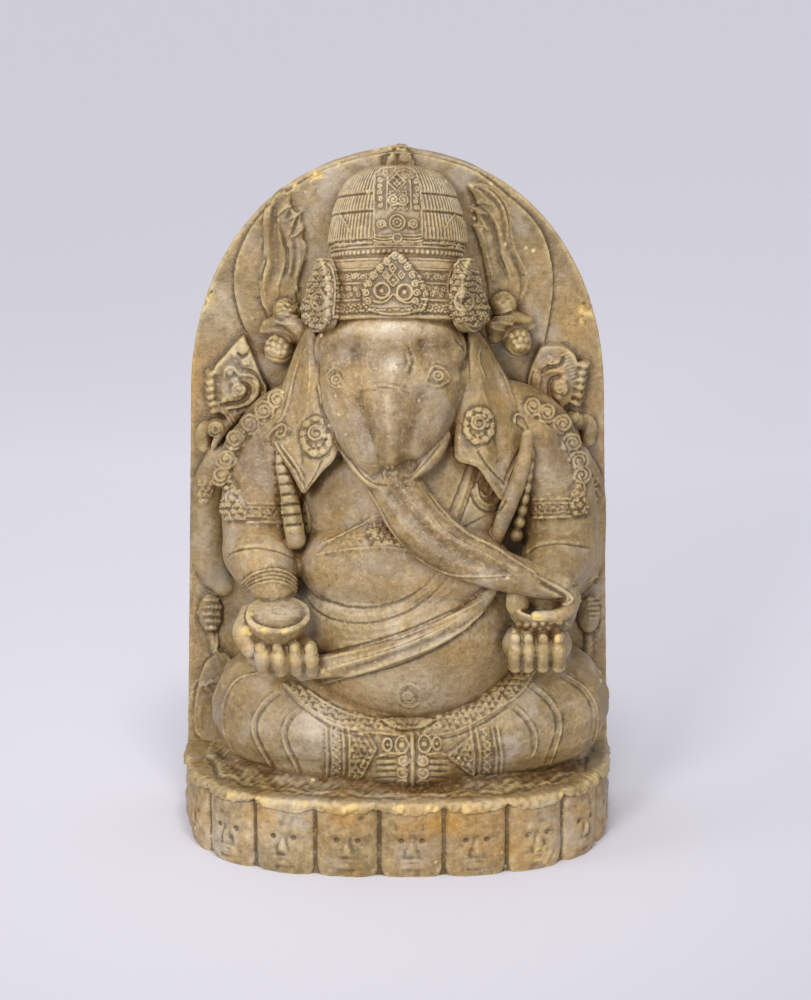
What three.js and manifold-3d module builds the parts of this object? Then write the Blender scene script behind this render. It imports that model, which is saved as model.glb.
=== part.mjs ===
// A cast stele: a seated elephant-headed figure, in one piece with its arched slab and its plinth of skulls.
// Units are millimetres and +Z is up. The front faces -Y. The origin is at the middle of the underside.
// Each form is a closed three.js geometry, and manifold-3d joins them into the one cast body.
// Left and right are the reader's, seen from the front.
import * as THREE from "three";
import { mergeVertices } from "three/addons/utils/BufferGeometryUtils.js";
import Module from "manifold-3d";

const wasm = await Module();
wasm.setup();

// Driving dimensions of the whole cast
const HEIGHT = 450;
const BACK_Y = 84;
const PLINTH_HALF_WIDTH = 138.5;
const PLINTH_FRONT_Y = -80;
const PLINTH_TOP_Z = 50;
const HEM_Z = 45.5; // where the cloth over the skulls ends
const LIP_OVERHANG = 4; // of the cloth over the wall
const SLAB_FRONT_Y = 40;
const SLAB_FOOT_HALF_WIDTH = 140.5;
const SHOULDER_HALF_WIDTH = 134.5;
const SHOULDER_Z = 284;
const PEAK_RISE = 4; // of the slab's point over its arch
const SLAB_TOP_FALL = 14; // of the slab's top, from its front to its back
const NIMBUS_Y = 36;
const PLAN_POWER = 2.8; // of the rounded plan of the plinth
const ARCH_POWER = 2.1; // of the arch over the slab

// The skulls that stand round the plinth
const SKULL_PITCH = 40.5;
const MIDDLE_SKULL_LENGTH = 9; // of the middle skull from the wall's middle, along the wall
const COLUMNS_PER_SKULL = 14;
const SKULL_SETBACK = 11.7; // of the joins between the skulls behind the plinth's plan

// The figure sits a little to the right of the slab's middle, and its head a little to the left of that
const FIGURE_X = 5;
const FEET_X = 9;
const HEAD_X = -1.5;
const CROWN_LEAN = 18; // degrees back from upright
const DIADEM_FLATNESS = 0.66; // of its depth over its width

const MOST_TRIANGLES = 9900;
const ROUNDING = 0.02; // of the finished skin's points
const BOUND = 1000; // further than any point from the middle
const LEAST_VOLUME = 1; // of a piece that isn't a sliver, in cubic mm

const stone = new THREE.MeshStandardMaterial({ color: 0xa8946a, roughness: 0.62, metalness: 0 });

// The geometry as a solid, with the triangles that have no area left out
function solid(geometry) {
  const bare = geometry.index ? geometry.toNonIndexed() : geometry.clone();
  const points = new THREE.BufferGeometry().setAttribute("position", bare.getAttribute("position"));
  const merged = mergeVertices(points, 1e-3);
  const corners = [];
  for (let i = 0; i < merged.index.count; i += 3) {
    const [a, b, c] = [0, 1, 2].map((k) => merged.index.getX(i + k));
    if (a !== b && b !== c && c !== a) corners.push(a, b, c);
  }
  const vertProperties = merged.attributes.position.array;
  const triVerts = new Uint32Array(corners);
  return new wasm.Manifold(new wasm.Mesh({ numProp: 3, vertProperties, triVerts }));
}

function join(solids) {
  return solids.reduce((whole, next) => whole.add(next));
}

// The body with the sealed hollows between its forms filled, as a casting has them, and no loose slivers
function filled(body) {
  return join(body.decompose().filter((piece) => piece.volume() > LEAST_VOLUME));
}

function geometryOf(body) {
  const mesh = body.getMesh();
  const positions = [];
  for (let i = 0; i < mesh.vertProperties.length; i += mesh.numProp) {
    positions.push(...mesh.vertProperties.subarray(i, i + 3));
  }
  const geometry = new THREE.BufferGeometry();
  geometry.setAttribute("position", new THREE.Float32BufferAttribute(positions, 3));
  geometry.setIndex(new THREE.BufferAttribute(new Uint32Array(mesh.triVerts), 1));
  return geometry;
}

// The squared distance to a triangle's plane times its area, as the ten numbers of a symmetric matrix
function planeError(corners) {
  const triangle = new THREE.Triangle(...corners);
  const normal = triangle.getNormal(new THREE.Vector3());
  const plane = [...normal.toArray(), -normal.dot(corners[0])];
  const numbers = [];
  for (let i = 0; i < 4; i++) {
    for (let j = i; j < 4; j++) numbers.push(triangle.getArea() * plane[i] * plane[j]);
  }
  return numbers;
}

function errorAt(numbers, point) {
  const [x, y, z] = point.toArray();
  const [xx, xy, xz, x1, yy, yz, y1, zz, z1, one] = numbers;
  const squares = xx * x * x + yy * y * y + zz * z * z + one;
  return squares + 2 * (xy * x * y + xz * x * z + x1 * x + yz * y * z + y1 * y + z1 * z);
}

// The best place for the one point that takes the place of the ends of an edge
function bestPlace(numbers, from, to) {
  const [xx, xy, xz, x1, yy, yz, y1, zz, z1] = numbers;
  const places = [from.clone(), to.clone(), from.clone().lerp(to, 0.5)];
  const matrix = new THREE.Matrix3().set(xx, xy, xz, xy, yy, yz, xz, yz, zz);
  if (Math.abs(matrix.determinant()) > 1e-4 * (xx + yy + zz) ** 3) {
    const exact = new THREE.Vector3(-x1, -y1, -z1).applyMatrix3(matrix.invert());
    if (exact.distanceTo(places[2]) < from.distanceTo(to)) places.push(exact);
  }
  const scored = places.map((place) => ({ place, error: errorAt(numbers, place) }));
  return scored.reduce((best, next) => (next.error < best.error ? next : best));
}

// Merges the ends of the edges whose loss shows least, until no more than most triangles are left.
// The surface stays one closed skin: an edge is kept where its two ends share more than two neighbours.
function lighten(geometry, most) {
  const position = geometry.getAttribute("position");
  const pointAt = (i) => new THREE.Vector3().fromBufferAttribute(position, i);
  const points = Array.from({ length: position.count }, (_, i) => pointAt(i));
  const faceAt = (i) => [0, 1, 2].map((k) => geometry.index.getX(3 * i + k));
  const faces = Array.from({ length: geometry.index.count / 3 }, (_, i) => faceAt(i));
  const around = points.map(() => new Set());
  const errors = points.map(() => new Array(10).fill(0));
  for (const face of faces) {
    const error = planeError(face.map((i) => points[i]));
    for (const i of face) {
      around[i].add(face);
      error.forEach((value, k) => (errors[i][k] += value));
    }
  }
  const live = new Set(faces);
  const neighbours = (i) => new Set([...around[i]].flat().filter((other) => other !== i));
  const both = (a, b) => errors[a].map((value, k) => value + errors[b][k]);
  const normalOf = (corners) => {
    const across = corners[2].clone().sub(corners[0]);
    return corners[1].clone().sub(corners[0]).cross(across);
  };
  const turnsOver = (face, i, place) => {
    const corners = face.map((k) => points[k]);
    const moved = face.map((k) => (k === i ? place : points[k]));
    const [before, after] = [normalOf(corners), normalOf(moved)];
    const longest = Math.max(...moved.map((p, k) => p.distanceTo(moved[(k + 1) % 3])));
    const turned = after.dot(before) < 0.35 * after.length() * before.length();
    return turned || after.length() < 0.04 * longest ** 2;
  };
  const collapse = (a, b, place) => {
    const shared = [...around[a]].filter((face) => face.includes(b));
    const common = [...neighbours(a)].filter((i) => neighbours(b).has(i));
    if (shared.length !== 2 || common.length !== 2 || common.some((i) => around[i].size < 4)) return false;
    const spoils = (i) => [...around[i]].some((face) => !shared.includes(face) && turnsOver(face, i, place));
    if (spoils(a) || spoils(b)) return false;
    errors[a] = both(a, b);
    for (const face of shared) {
      live.delete(face);
      for (const i of face) around[i].delete(face);
    }
    for (const face of around[b]) {
      face[face.indexOf(b)] = a;
      around[a].add(face);
    }
    around[b].clear();
    points[a] = place;
    return true;
  };
  for (let left = 0; left !== live.size && live.size > most; ) {
    left = live.size;
    const edges = [...live].flatMap((face) => face.map((a, k) => [a, face[(k + 1) % 3]]));
    const once = edges.filter(([a, b]) => a < b);
    const ranked = once.map(([a, b]) => ({ a, b, ...bestPlace(both(a, b), points[a], points[b]) }));
    ranked.sort((first, second) => first.error - second.error);
    const moved = new Set();
    for (const { a, b, place } of ranked.slice(0, Math.ceil(ranked.length / 4))) {
      if (live.size <= most) break;
      if (moved.has(a) || moved.has(b) || !collapse(a, b, place)) continue;
      moved.add(a);
      for (const i of neighbours(a)) moved.add(i);
    }
  }
  const [low, high] = [new THREE.Vector3(-BOUND, -BOUND, 0), new THREE.Vector3(BOUND, BACK_Y, HEIGHT)];
  const rounded = (value) => Math.round(value / ROUNDING) * ROUNDING;
  const numbers = points.flatMap((point) => point.clamp(low, high).toArray().map(rounded));
  const lighter = new THREE.BufferGeometry();
  lighter.setAttribute("position", new THREE.Float32BufferAttribute(numbers, 3));
  lighter.setIndex([...live].flat());
  return lighter;
}

// An ellipsoid, turned by degrees about X, Y and Z
function blob(at, radii, { turn = [0, 0, 0], round = 12, rise = 8 } = {}) {
  const geometry = new THREE.SphereGeometry(1, round, rise);
  geometry.rotateX(Math.PI / 2);
  geometry.scale(...radii);
  const angles = turn.map(THREE.MathUtils.degToRad);
  geometry.applyMatrix4(new THREE.Matrix4().makeRotationFromEuler(new THREE.Euler(...angles)));
  geometry.translate(...at);
  return solid(geometry);
}

// A closed skin over rings of points, each ring running the same way round
function skin(rings) {
  const positions = [];
  for (let r = 0; r + 1 < rings.length; r++) {
    const [low, high] = [rings[r], rings[r + 1]];
    for (let i = 0; i < low.length; i++) {
      const j = (i + 1) % low.length;
      positions.push(...low[i], ...low[j], ...high[j], ...low[i], ...high[j], ...high[i]);
    }
  }
  const geometry = new THREE.BufferGeometry();
  geometry.setAttribute("position", new THREE.Float32BufferAttribute(positions, 3));
  return solid(geometry);
}

// A round limb along a smooth path through stations [x, y, z, radius], with rounded ends.
// depth is the sections' thickness over their width, and facing the way that the thickness is measured.
function limb(stations, { sides = 8, steps = 4, depth = 1, facing = [0, 1, 0], thick = false } = {}) {
  const curve = new THREE.CatmullRomCurve3(stations.map(([x, y, z]) => new THREE.Vector3(x, y, z)));
  const ring = (t, width, ahead) => {
    const place = t * (stations.length - 1);
    const low = Math.min(Math.floor(place), stations.length - 2);
    const radius = THREE.MathUtils.lerp(stations[low][3], stations[low + 1][3], place - low);
    const tangent = curve.getTangent(t);
    const side = new THREE.Vector3(...facing).cross(tangent).normalize();
    const inward = new THREE.Vector3().crossVectors(tangent, side);
    const centre = curve.getPoint(t).addScaledVector(tangent, ahead * radius);
    return Array.from({ length: sides }, (_, i) => {
      const angle = (2 * Math.PI * i) / sides - Math.PI / 2;
      const across = side.clone().multiplyScalar(radius * width * Math.cos(angle));
      const deep = inward.clone().multiplyScalar(radius * width * depth * Math.sin(angle));
      return centre.clone().add(across).add(deep).toArray();
    });
  };
  const along = Array.from({ length: steps + 1 }, (_, i) => ring(i / steps, 1, 0));
  const start = thick ? [ring(0, 0, -0.9), ring(0, 0.7, -0.6)] : [ring(0, 0, -0.8)];
  const end = thick ? [ring(1, 0.7, 0.6), ring(1, 0, 0.9)] : [ring(1, 0, 0.8)];
  return skin([...start, ...along, ...end]);
}

// A plate with an outline of [x, z] points, from frontY back to backY, its front edge eased by bevel
function plate(outline, frontY, backY, bevel = 0) {
  const shape = new THREE.Shape(outline.map(([x, z]) => new THREE.Vector2(x, z)));
  const geometry = new THREE.ExtrudeGeometry(shape, {
    depth: backY - frontY - 2 * bevel,
    bevelEnabled: bevel > 0,
    bevelThickness: bevel,
    bevelSize: bevel,
    bevelOffset: -bevel,
    bevelSegments: 1,
  });
  geometry.rotateX(Math.PI / 2);
  geometry.translate(0, backY - bevel, 0);
  return solid(geometry);
}

// Points [x, z] along a smooth curve through a few of them
function smooth(points, count, closed = false) {
  const path = points.map(([x, z]) => new THREE.Vector3(x, z, 0));
  const samples = new THREE.CatmullRomCurve3(path, closed).getPoints(count);
  if (closed) samples.pop();
  return samples.map((p) => [p.x, p.y]);
}

// Points [x, z] along a spiral that starts at the angle start and closes in on its centre
function spiral([x, z], outer, turns, { count = 14, start = 0, inner = 0.15, way = 1 } = {}) {
  return Array.from({ length: count + 1 }, (_, i) => {
    const share = i / count;
    const radius = outer * (1 - (1 - inner) * share);
    const angle = start + way * share * turns * 2 * Math.PI;
    return [x + radius * Math.cos(angle), z + radius * Math.sin(angle)];
  });
}

// Lays ridges and studs of relief on the front of a body
function carver(body) {
  const target = new THREE.Mesh(geometryOf(body), new THREE.MeshBasicMaterial({ side: THREE.DoubleSide }));
  const ray = new THREE.Raycaster();
  const depthAt = (x, z) => {
    ray.set(new THREE.Vector3(x, -300, z), new THREE.Vector3(0, 1, 0));
    const hit = ray.intersectObject(target)[0];
    return hit ? hit.point.y : SLAB_FRONT_Y;
  };
  return {
    // A raised ridge along [x, z] points
    ridge(points, radius, { steps = points.length, sides = 3, sink = 0.25, depth = 1 } = {}) {
      const stations = points.map(([x, z]) => [x, depthAt(x, z) + sink * radius, z, radius]);
      return limb(stations, { sides, steps, depth });
    },
    // A round stud
    stud([x, z], radius, { round = 5, rise = 3, sink = 0.1, out = 1 } = {}) {
      return blob([x, depthAt(x, z) + sink * radius, z], [radius, radius * out, radius], { round, rise });
    },
  };
}

// A point of the plinth's plan, which is straight behind the slab's front and a superellipse before it
function planPoint(angle) {
  const [cosine, sine] = [Math.cos(angle), Math.sin(angle)];
  const power = 2 / PLAN_POWER;
  const reach = SLAB_FRONT_Y - PLINTH_FRONT_Y;
  const x = PLINTH_HALF_WIDTH * Math.sign(cosine) * Math.abs(cosine) ** power;
  return new THREE.Vector2(x, SLAB_FRONT_Y - reach * Math.abs(sine) ** power);
}

// The wall of the plinth from its back left corner, round the front, to its back right corner
const wallPath = new THREE.CurvePath();
const wallSteps = Array.from({ length: 121 }, (_, i) => planPoint(Math.PI - (Math.PI * i) / 120));
const wallPoints = [
  new THREE.Vector2(-PLINTH_HALF_WIDTH, BACK_Y),
  ...wallSteps,
  new THREE.Vector2(PLINTH_HALF_WIDTH, BACK_Y),
];
wallPoints.slice(1).forEach((point, i) => wallPath.add(new THREE.LineCurve(wallPoints[i], point)));
const WALL_LENGTH = wallPath.getLength();

// A place on the wall, at a length from its middle, with out as the way that the wall faces there
function wallPlace(length) {
  const share = THREE.MathUtils.clamp(0.5 + length / WALL_LENGTH, 0, 1);
  const along = wallPath.getTangent(share);
  return { point: wallPath.getPoint(share), out: new THREE.Vector2(along.y, -along.x) };
}

// How far a skull stands out of the wall at u across and z up from its foot
function skullRelief(u, z) {
  const halfWidth = 20.4 - 6 * Math.max(0, 1 - z / 15) ** 1.6;
  const round = Math.max(0, 1 - Math.abs(u / halfWidth) ** 2.4) ** 0.5;
  const upright = Math.max(0.1, 1 - Math.abs((z - 25) / 27) ** 2.6) ** 0.5;
  const bump = (du, dz, wide, tall) => Math.exp(-((du / wide) ** 4) - (dz / tall) ** 4);
  const eyes = bump(Math.abs(u) - 6.7, z - 26, 2.6, 2.2);
  const brow = bump(u, z - 30.5, 12, 2.2);
  const cheeks = bump(Math.abs(u) - 10, z - 19, 3.6, 3.4);
  const nose = bump(u, z - 19.5, 1.6 + 0.22 * (26 - z), 6);
  const lips = bump(u, z - 10, 8.5, 1.3) + bump(u, z - 6.6, 7.5, 1.3);
  return 12 * round * upright - 3.4 * eyes + 1.4 * brow + 1.2 * cheeks + 3.6 * nose + 1.6 * lips;
}

// The plinth in one skin: the ring of skulls, and over them the cloth with its wavy hem
function plinth() {
  const half = WALL_LENGTH / 2;
  const step = SKULL_PITCH / COLUMNS_PER_SKULL;
  const columns = [];
  for (let length = MIDDLE_SKULL_LENGTH; length < half - 1; length += step) columns.push(length);
  for (let length = MIDDLE_SKULL_LENGTH - step; length > 1 - half; length -= step) columns.unshift(length);
  const ring = (z, outAt) =>
    [-half, ...columns, half].map((length) => {
      const { point, out } = wallPlace(length);
      const turns = (length - MIDDLE_SKULL_LENGTH) / SKULL_PITCH;
      const across = (turns - Math.round(turns)) * SKULL_PITCH;
      const { x, y } = point.addScaledVector(out, Math.abs(length) === half ? 0 : outAt(across));
      return [x, Math.min(y, BACK_Y), z];
    });
  const heights = Array.from({ length: 22 }, (_, i) => 2 * i);
  const skulls = heights.map((z) => ring(z, (u) => skullRelief(u, z) - SKULL_SETBACK));
  const neck = ring(HEM_Z, (u) => skullRelief(u, HEM_Z) - SKULL_SETBACK);
  const hem = (u) => LIP_OVERHANG - 2 * (Math.abs(u) / (SKULL_PITCH / 2)) ** 2;
  const cloth = [ring(HEM_Z, hem), ring(PLINTH_TOP_Z, hem)];
  const middle = (z) => neck.map(() => [0, 0, z]);
  return skin([middle(0), ...skulls, neck, ...cloth, middle(PLINTH_TOP_Z)]);
}

// Half of the slab's outline at height z
function slabHalfWidth(z) {
  if (z <= SHOULDER_Z) {
    const share = (z - PLINTH_TOP_Z) / (SHOULDER_Z - PLINTH_TOP_Z);
    return THREE.MathUtils.lerp(SLAB_FOOT_HALF_WIDTH, SHOULDER_HALF_WIDTH, share);
  }
  const rise = (z - SHOULDER_Z) / (HEIGHT - PEAK_RISE - SHOULDER_Z);
  return SHOULDER_HALF_WIDTH * Math.max(0, 1 - rise ** ARCH_POWER) ** (1 / ARCH_POWER);
}

function slab() {
  const steps = 16;
  const outline = (y, shrink) => {
    const arch = Array.from({ length: steps }, (_, i) => {
      const sine = Math.sin((Math.PI / 2) * (i / steps));
      const z = SHOULDER_Z + (HEIGHT - PEAK_RISE - SHOULDER_Z) * sine ** (2 / ARCH_POWER);
      return [slabHalfWidth(z) - shrink / 2, z - shrink * sine];
    });
    const right = [[SLAB_FOOT_HALF_WIDTH - shrink / 4, PLINTH_TOP_Z - 3], ...arch];
    const left = right.map(([x, z]) => [-x, z]).reverse();
    return [...right, [0, HEIGHT - shrink], ...left].map(([x, z]) => [x, y, z]).reverse();
  };
  const front = [outline(SLAB_FRONT_Y, 1.5), outline(SLAB_FRONT_Y + 1.5, 0)];
  const rings = [...front, outline(BACK_Y - 2, SLAB_TOP_FALL - 3), outline(BACK_Y, SLAB_TOP_FALL)];
  const middle = (y) => rings[0].map(() => [0, y, SHOULDER_Z]);
  return skin([middle(SLAB_FRONT_Y), ...rings, middle(BACK_Y)]);
}

// The raised nimbus behind the head, which runs up into the slab's point
function nimbus() {
  const left = [[-84, 262], [-92, 314], [-102, 338], [-106, 367], [-94.5, 397.5], [-72, 420], [-40, 438]];
  const right = [[44, 437], [69, 420], [90, 400], [99, 378], [100.5, 352], [95, 318], [84, 262]];
  return plate(smooth([...left, [1, 446], ...right], 26), NIMBUS_Y, SLAB_FRONT_Y + 2);
}

// The two ribbons that rise beside the crown, with tips like feathers
function ribbons() {
  const left = [
    [-68.5, 421], [-80, 415.5], [-85.5, 398], [-84.5, 373.5], [-87, 360.5], [-86, 347.5], [-78, 331],
    [-63, 338], [-68, 351], [-62.5, 377], [-60.5, 397.5], [-66, 393], [-63.5, 406], [-70.5, 400],
    [-66.5, 411],
  ];
  const right = [
    [45, 425.5], [53, 416], [47.5, 415], [56, 405], [49.5, 408], [58, 395], [47, 401], [54.5, 386.5],
    [58, 373.5], [60, 345], [72.5, 341], [77.5, 351], [79.5, 364], [70.5, 386.5], [66.5, 412.5], [57, 421],
  ];
  return [left, right].map((outline) => plate(outline, NIMBUS_Y - 3, SLAB_FRONT_Y));
}

function ribbonRidges(carve) {
  const ridges = [
    [[-72, 417], [-79, 411], [-81, 390], [-80, 374], [-82.5, 360], [-76, 336]],
    [[-72, 402], [-71, 374], [-73, 358], [-71, 344]],
    [[50, 421], [63, 404], [65, 386], [74, 362], [71, 346]],
    [[54, 402], [60, 390], [64, 368], [65, 350]],
  ];
  return ridges.map((points) => carve.ridge(points, 1.8));
}

// The legs, crossed flat in front under the skirt, with the soles of the feet together
function legs() {
  const left = [
    [-24, 14, 92, 38], [-66, 12, 94, 42], [-87, -6, 91, 42],
    [-62, -20, 86, 38], [-36, -30, 84, 34], [-10, -40, 80, 28],
  ];
  const right = [
    [34, 14, 92, 38], [78, 12, 94, 42], [104, -4, 91, 42],
    [78, -19, 86, 38], [52, -29, 84, 34], [28, -40, 80, 28],
  ];
  const flat = { sides: 12, steps: 14, facing: [0, 0, 1], thick: true };
  return [
    limb(left, flat),
    limb(right, flat),
    blob([FEET_X - 15, -48, 73], [26, 22, 22], { turn: [0, 0, -24] }),
    blob([FEET_X + 15, -48, 73], [26, 22, 22], { turn: [0, 0, 24] }),
    blob([FEET_X, -60, 73], [9, 19, 22]),
    blob([FEET_X, -22, 88], [70, 32, 30]),
  ];
}

// Torso, belly and the rolls of the belly
function torso() {
  const x = FIGURE_X;
  return [
    blob([x, -11, 148], [69, 63, 66], { round: 18, rise: 12 }),
    blob([x, 2, 222], [66, 42, 56], { round: 12, rise: 7 }),
    blob([x - 14, -38, 186], [46, 25, 23], { turn: [0, -8, 0], round: 12, rise: 7 }),
    blob([x, 24, 120], [100, 24, 70], { round: 10, rise: 5 }),
  ];
}

// Arms, from the shoulder by the elbow to the hand
function arms() {
  const reach = { sides: 8, steps: 3, facing: [1, 0, 0] };
  return [
    limb([[-74, 10, 262, 27], [-88, 6, 232, 25], [-89, 2, 200, 24]], { sides: 10, steps: 3, thick: true }),
    limb([[-89, 0, 192, 25], [-85, -26, 187, 22], [-80, -44, 176, 17.5]], reach),
    limb([[84, 10, 262, 28], [102, 6, 232, 27], [106, 2, 200, 25]], { sides: 10, steps: 3, thick: true }),
    limb([[106, 0, 190, 26], [100, -26, 185, 22], [95, -44, 174, 18]], reach),
    blob([-66, 14, 270], [42, 26, 30], { turn: [0, -28, 0], round: 10, rise: 6 }),
    blob([76, 14, 270], [44, 26, 30], { turn: [0, 28, 0], round: 10, rise: 6 }),
  ];
}

// A bowl held in the hand, tipped towards the reader
function bowl(at, radius, depth, tip) {
  const profile = [[0, -depth], [radius * 0.62, -depth], [radius, -3], [radius, 0], [0, 0.6]];
  const geometry = new THREE.LatheGeometry(profile.map(([r, z]) => new THREE.Vector2(r, z)), 14);
  geometry.rotateX(Math.PI / 2 + THREE.MathUtils.degToRad(tip));
  geometry.translate(...at);
  return solid(geometry);
}

function hands() {
  const slim = { sides: 5, steps: 2 };
  const leftFinger = (i) => {
    const [tip, knuckle, root] = [-86 + 9.4 * i, -84 + 8.6 * i, -80 + 6.6 * i];
    return limb([[tip, -75, 150 - i, 4.6], [knuckle, -77, 141 - i, 5.2], [root, -70, 129 + i, 4.8]], slim);
  };
  const rightFinger = (i) => {
    const [tip, knuckle, root] = [74 + 9 * i, 74.5 + 9 * i, 75 + 8.6 * i];
    return limb([[tip, -76, 160, 4.8], [knuckle, -78, 150, 5.2], [root, -72, 138, 4.8]], slim);
  };
  const fingers = [0, 1, 2, 3].flatMap((i) => [leftFinger(i), rightFinger(i)]);
  return [
    blob([-75, -58, 143], [22, 22, 15], { round: 8, rise: 5 }),
    blob([88, -56, 146], [22, 22, 17], { round: 8, rise: 5 }),
    bowl([-74, -62, 173], 20, 26, 16),
    bowl([92, -58, 175], 22, 27, 14),
    limb([[-95, -48, 158, 7], [-97, -62, 156, 6], [-91, -72, 151, 5]], { ...slim, facing: [1, 0, 0] }),
    ...fingers,
  ];
}

// The roll of cloth across the belly, which ends blunt at the left hand
function sashRoll() {
  const stations = [
    [-57, -62, 127, 7], [-48, -68, 130, 7.5], [-20, -72, 138, 7.5],
    [12, -72, 148, 6.5], [42, -66, 160, 5], [62, -56, 172, 3.5],
  ];
  return limb(stations, { sides: 6, steps: 6 });
}

// The skull, brows, cheeks and face of an elephant
function head() {
  const x = HEAD_X;
  const face = [
    [x, -14, 318, 44], [x, -22, 294, 40], [x, -30, 274, 32], [x, -37, 258, 23], [x, -42, 248, 16],
  ];
  return [
    blob([x, 2, 316], [53, 42, 46], { round: 20, rise: 12 }),
    blob([x - 20, -19, 333], [28, 20, 20], { round: 14, rise: 8 }),
    blob([x + 20, -19, 333], [28, 20, 20], { round: 14, rise: 8 }),
    blob([x - 38, 0, 288], [26, 26, 44], { round: 10, rise: 6 }),
    blob([x + 38, 0, 290], [26, 26, 44], { round: 10, rise: 6 }),
    limb(face, { sides: 16, steps: 8, depth: 0.7, thick: true }),
  ];
}

// The trunk, which turns to the right and rests its tip on the bowl
function trunk() {
  const stations = [
    [-1.5, -22, 290, 17], [-3, -38, 268, 17], [-4.5, -48, 252.5, 15.5],
    [4, -55, 238, 14.5], [15, -61, 223.5, 15], [32, -66, 212, 15],
    [55.5, -70, 203, 13.5], [80, -71, 195, 11.5], [104, -69, 186, 9.5],
  ];
  return limb(stations, { sides: 12, steps: 20, depth: 0.8 });
}

function tusks() {
  return [
    limb([[-33, -30, 268, 5], [-24, -42, 258, 4], [-9, -53, 247, 1.8]], { sides: 5, steps: 3 }),
    limb([[30, -28, 279, 6.5], [22, -42, 267, 6], [8, -52, 253, 2.6]], { sides: 5, steps: 3 }),
  ];
}

// An ear as a leaf with its own depth at each outline point [x, z, y], thickened back into the body
function ear(outline, [rx, rz, ry], backY) {
  const front = outline.map(([x, z, y]) => [x, y, z]);
  const back = outline.map(([x, z]) => [x, backY, z]);
  const middle = (y) => outline.map(() => [rx, y, rz]);
  return skin([middle(backY), back, front, middle(ry)]);
}

function ears() {
  const left = [
    [-54, 340, -6], [-64, 326, 2], [-72, 304, 2], [-81, 284, -4], [-85, 270, -12],
    [-79, 258, -20], [-73, 240, -26], [-66, 222, -30], [-60, 209, -32], [-54, 228, -38],
    [-47, 248, -40], [-38, 264, -36], [-40, 290, -26], [-46, 320, -16],
  ];
  const right = [
    [46, 340, -6], [56, 330, 2], [66, 312, 2], [78, 290, -4], [87, 272, -12],
    [84, 256, -20], [76, 246, -26], [67, 234, -32], [58, 246, -38], [50, 258, -40],
    [36, 264, -36], [38, 290, -26], [42, 320, -16],
  ];
  return [ear(left, [-60, 272, -24], 20), ear(right.reverse(), [60, 282, -24], 20)];
}

// The crown leans back: this puts a body made upright, its foot at the diadem's lower edge, in place
function onCrown(body) {
  return body.rotate([-CROWN_LEAN, 0, 0]).translate([HEAD_X, 6, 348]);
}

// A ring of [radius, height] steps turned about the crown's axis and flattened from front to back
function crownRing(profile, flatness, around) {
  const geometry = new THREE.LatheGeometry(profile.map(([r, z]) => new THREE.Vector2(r, z)), around);
  geometry.rotateX(Math.PI / 2);
  geometry.scale(1, flatness, 1);
  return solid(geometry);
}

// The tall cap of coiled hair, cut into upright locks in two tiers
function hairCap() {
  const [locks, tiers, halfWidth, halfDepth, foot, tall] = [22, 8, 45, 33, 30, 63];
  const rings = Array.from({ length: tiers + 1 }, (_, t) => {
    const climb = (Math.PI / 2) * (t / tiers);
    const spread = Math.max(0, Math.cos(climb)) ** 0.5 * (t === 4 ? 1.04 : 1);
    return Array.from({ length: locks * 2 }, (_, i) => {
      const angle = (Math.PI * i) / locks;
      const reach = spread * (i % 2 ? 1 : 0.95);
      const [x, y] = [halfWidth * reach * Math.cos(angle), halfDepth * reach * Math.sin(angle)];
      return [x, y, foot + tall * Math.sin(climb)];
    });
  });
  return skin([rings[0].map(() => [0, 0, foot]), ...rings]);
}

// A boss of leaves: a pointed leaf with round bosses on its face, its foot at the origin, facing -Y
function leafBoss(width, height) {
  const half = width / 2;
  const edge = [[0.7, 0], [1, 0.28], [0.72, 0.5], [0.6, 0.66], [0.25, 0.8]];
  const leftEdge = edge.map(([x, z]) => [-x, z]);
  const outline = [...leftEdge, [0, 1], ...edge.toReversed()].map(([x, z]) => [x * half, z * height]);
  const boss = ([x, z, radius]) => {
    const r = radius * half;
    return blob([x * half, 0.4, z * height], [r, 2.8, r], { round: 8, rise: 4 });
  };
  return [plate(outline, 0, 12, 1.2), ...[[-0.45, 0.26, 0.3], [0.45, 0.26, 0.3], [0, 0.52, 0.26]].map(boss)];
}

// The diadem round the foot of the crown, with its pointed leaves
function diadem() {
  const profile = [
    [0, -6], [57, -6], [59, -3], [59, 1], [57, 2], [57.5, 6], [59.5, 7], [59.5, 10],
    [57.5, 11], [57.5, 20], [60, 22], [60, 25], [56, 27], [54, 34], [48, 38], [0, 38],
  ];
  const geometry = new THREE.LatheGeometry(profile.map(([r, z]) => new THREE.Vector2(r, z)), 36);
  geometry.rotateX(Math.PI / 2);
  geometry.scale(1, DIADEM_FLATNESS, 1);
  const around = (degrees, radius) => {
    const angle = THREE.MathUtils.degToRad(degrees);
    return [radius * Math.sin(angle), -radius * DIADEM_FLATNESS * Math.cos(angle)];
  };
  const sideLeaves = [-58, 58].flatMap((degrees) => {
    const [x, y] = around(degrees, 59);
    return leafBoss(27, 44).map((body) => body.rotate([0, 0, degrees * 0.8]).translate([x, y - 1, -2]));
  });
  const studs = [-44, -36, -28, 28, 36, 44].map((degrees) => {
    const [x, y] = around(degrees, 58);
    return blob([x, y, 15.5], [3.4, 3, 3.4], { round: 6, rise: 4 });
  });
  const middleLeaf = leafBoss(38, 46).map((body) => body.translate([0, -41, -1]));
  return [solid(geometry), ...middleLeaf, ...sideLeaves, ...studs];
}

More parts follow.
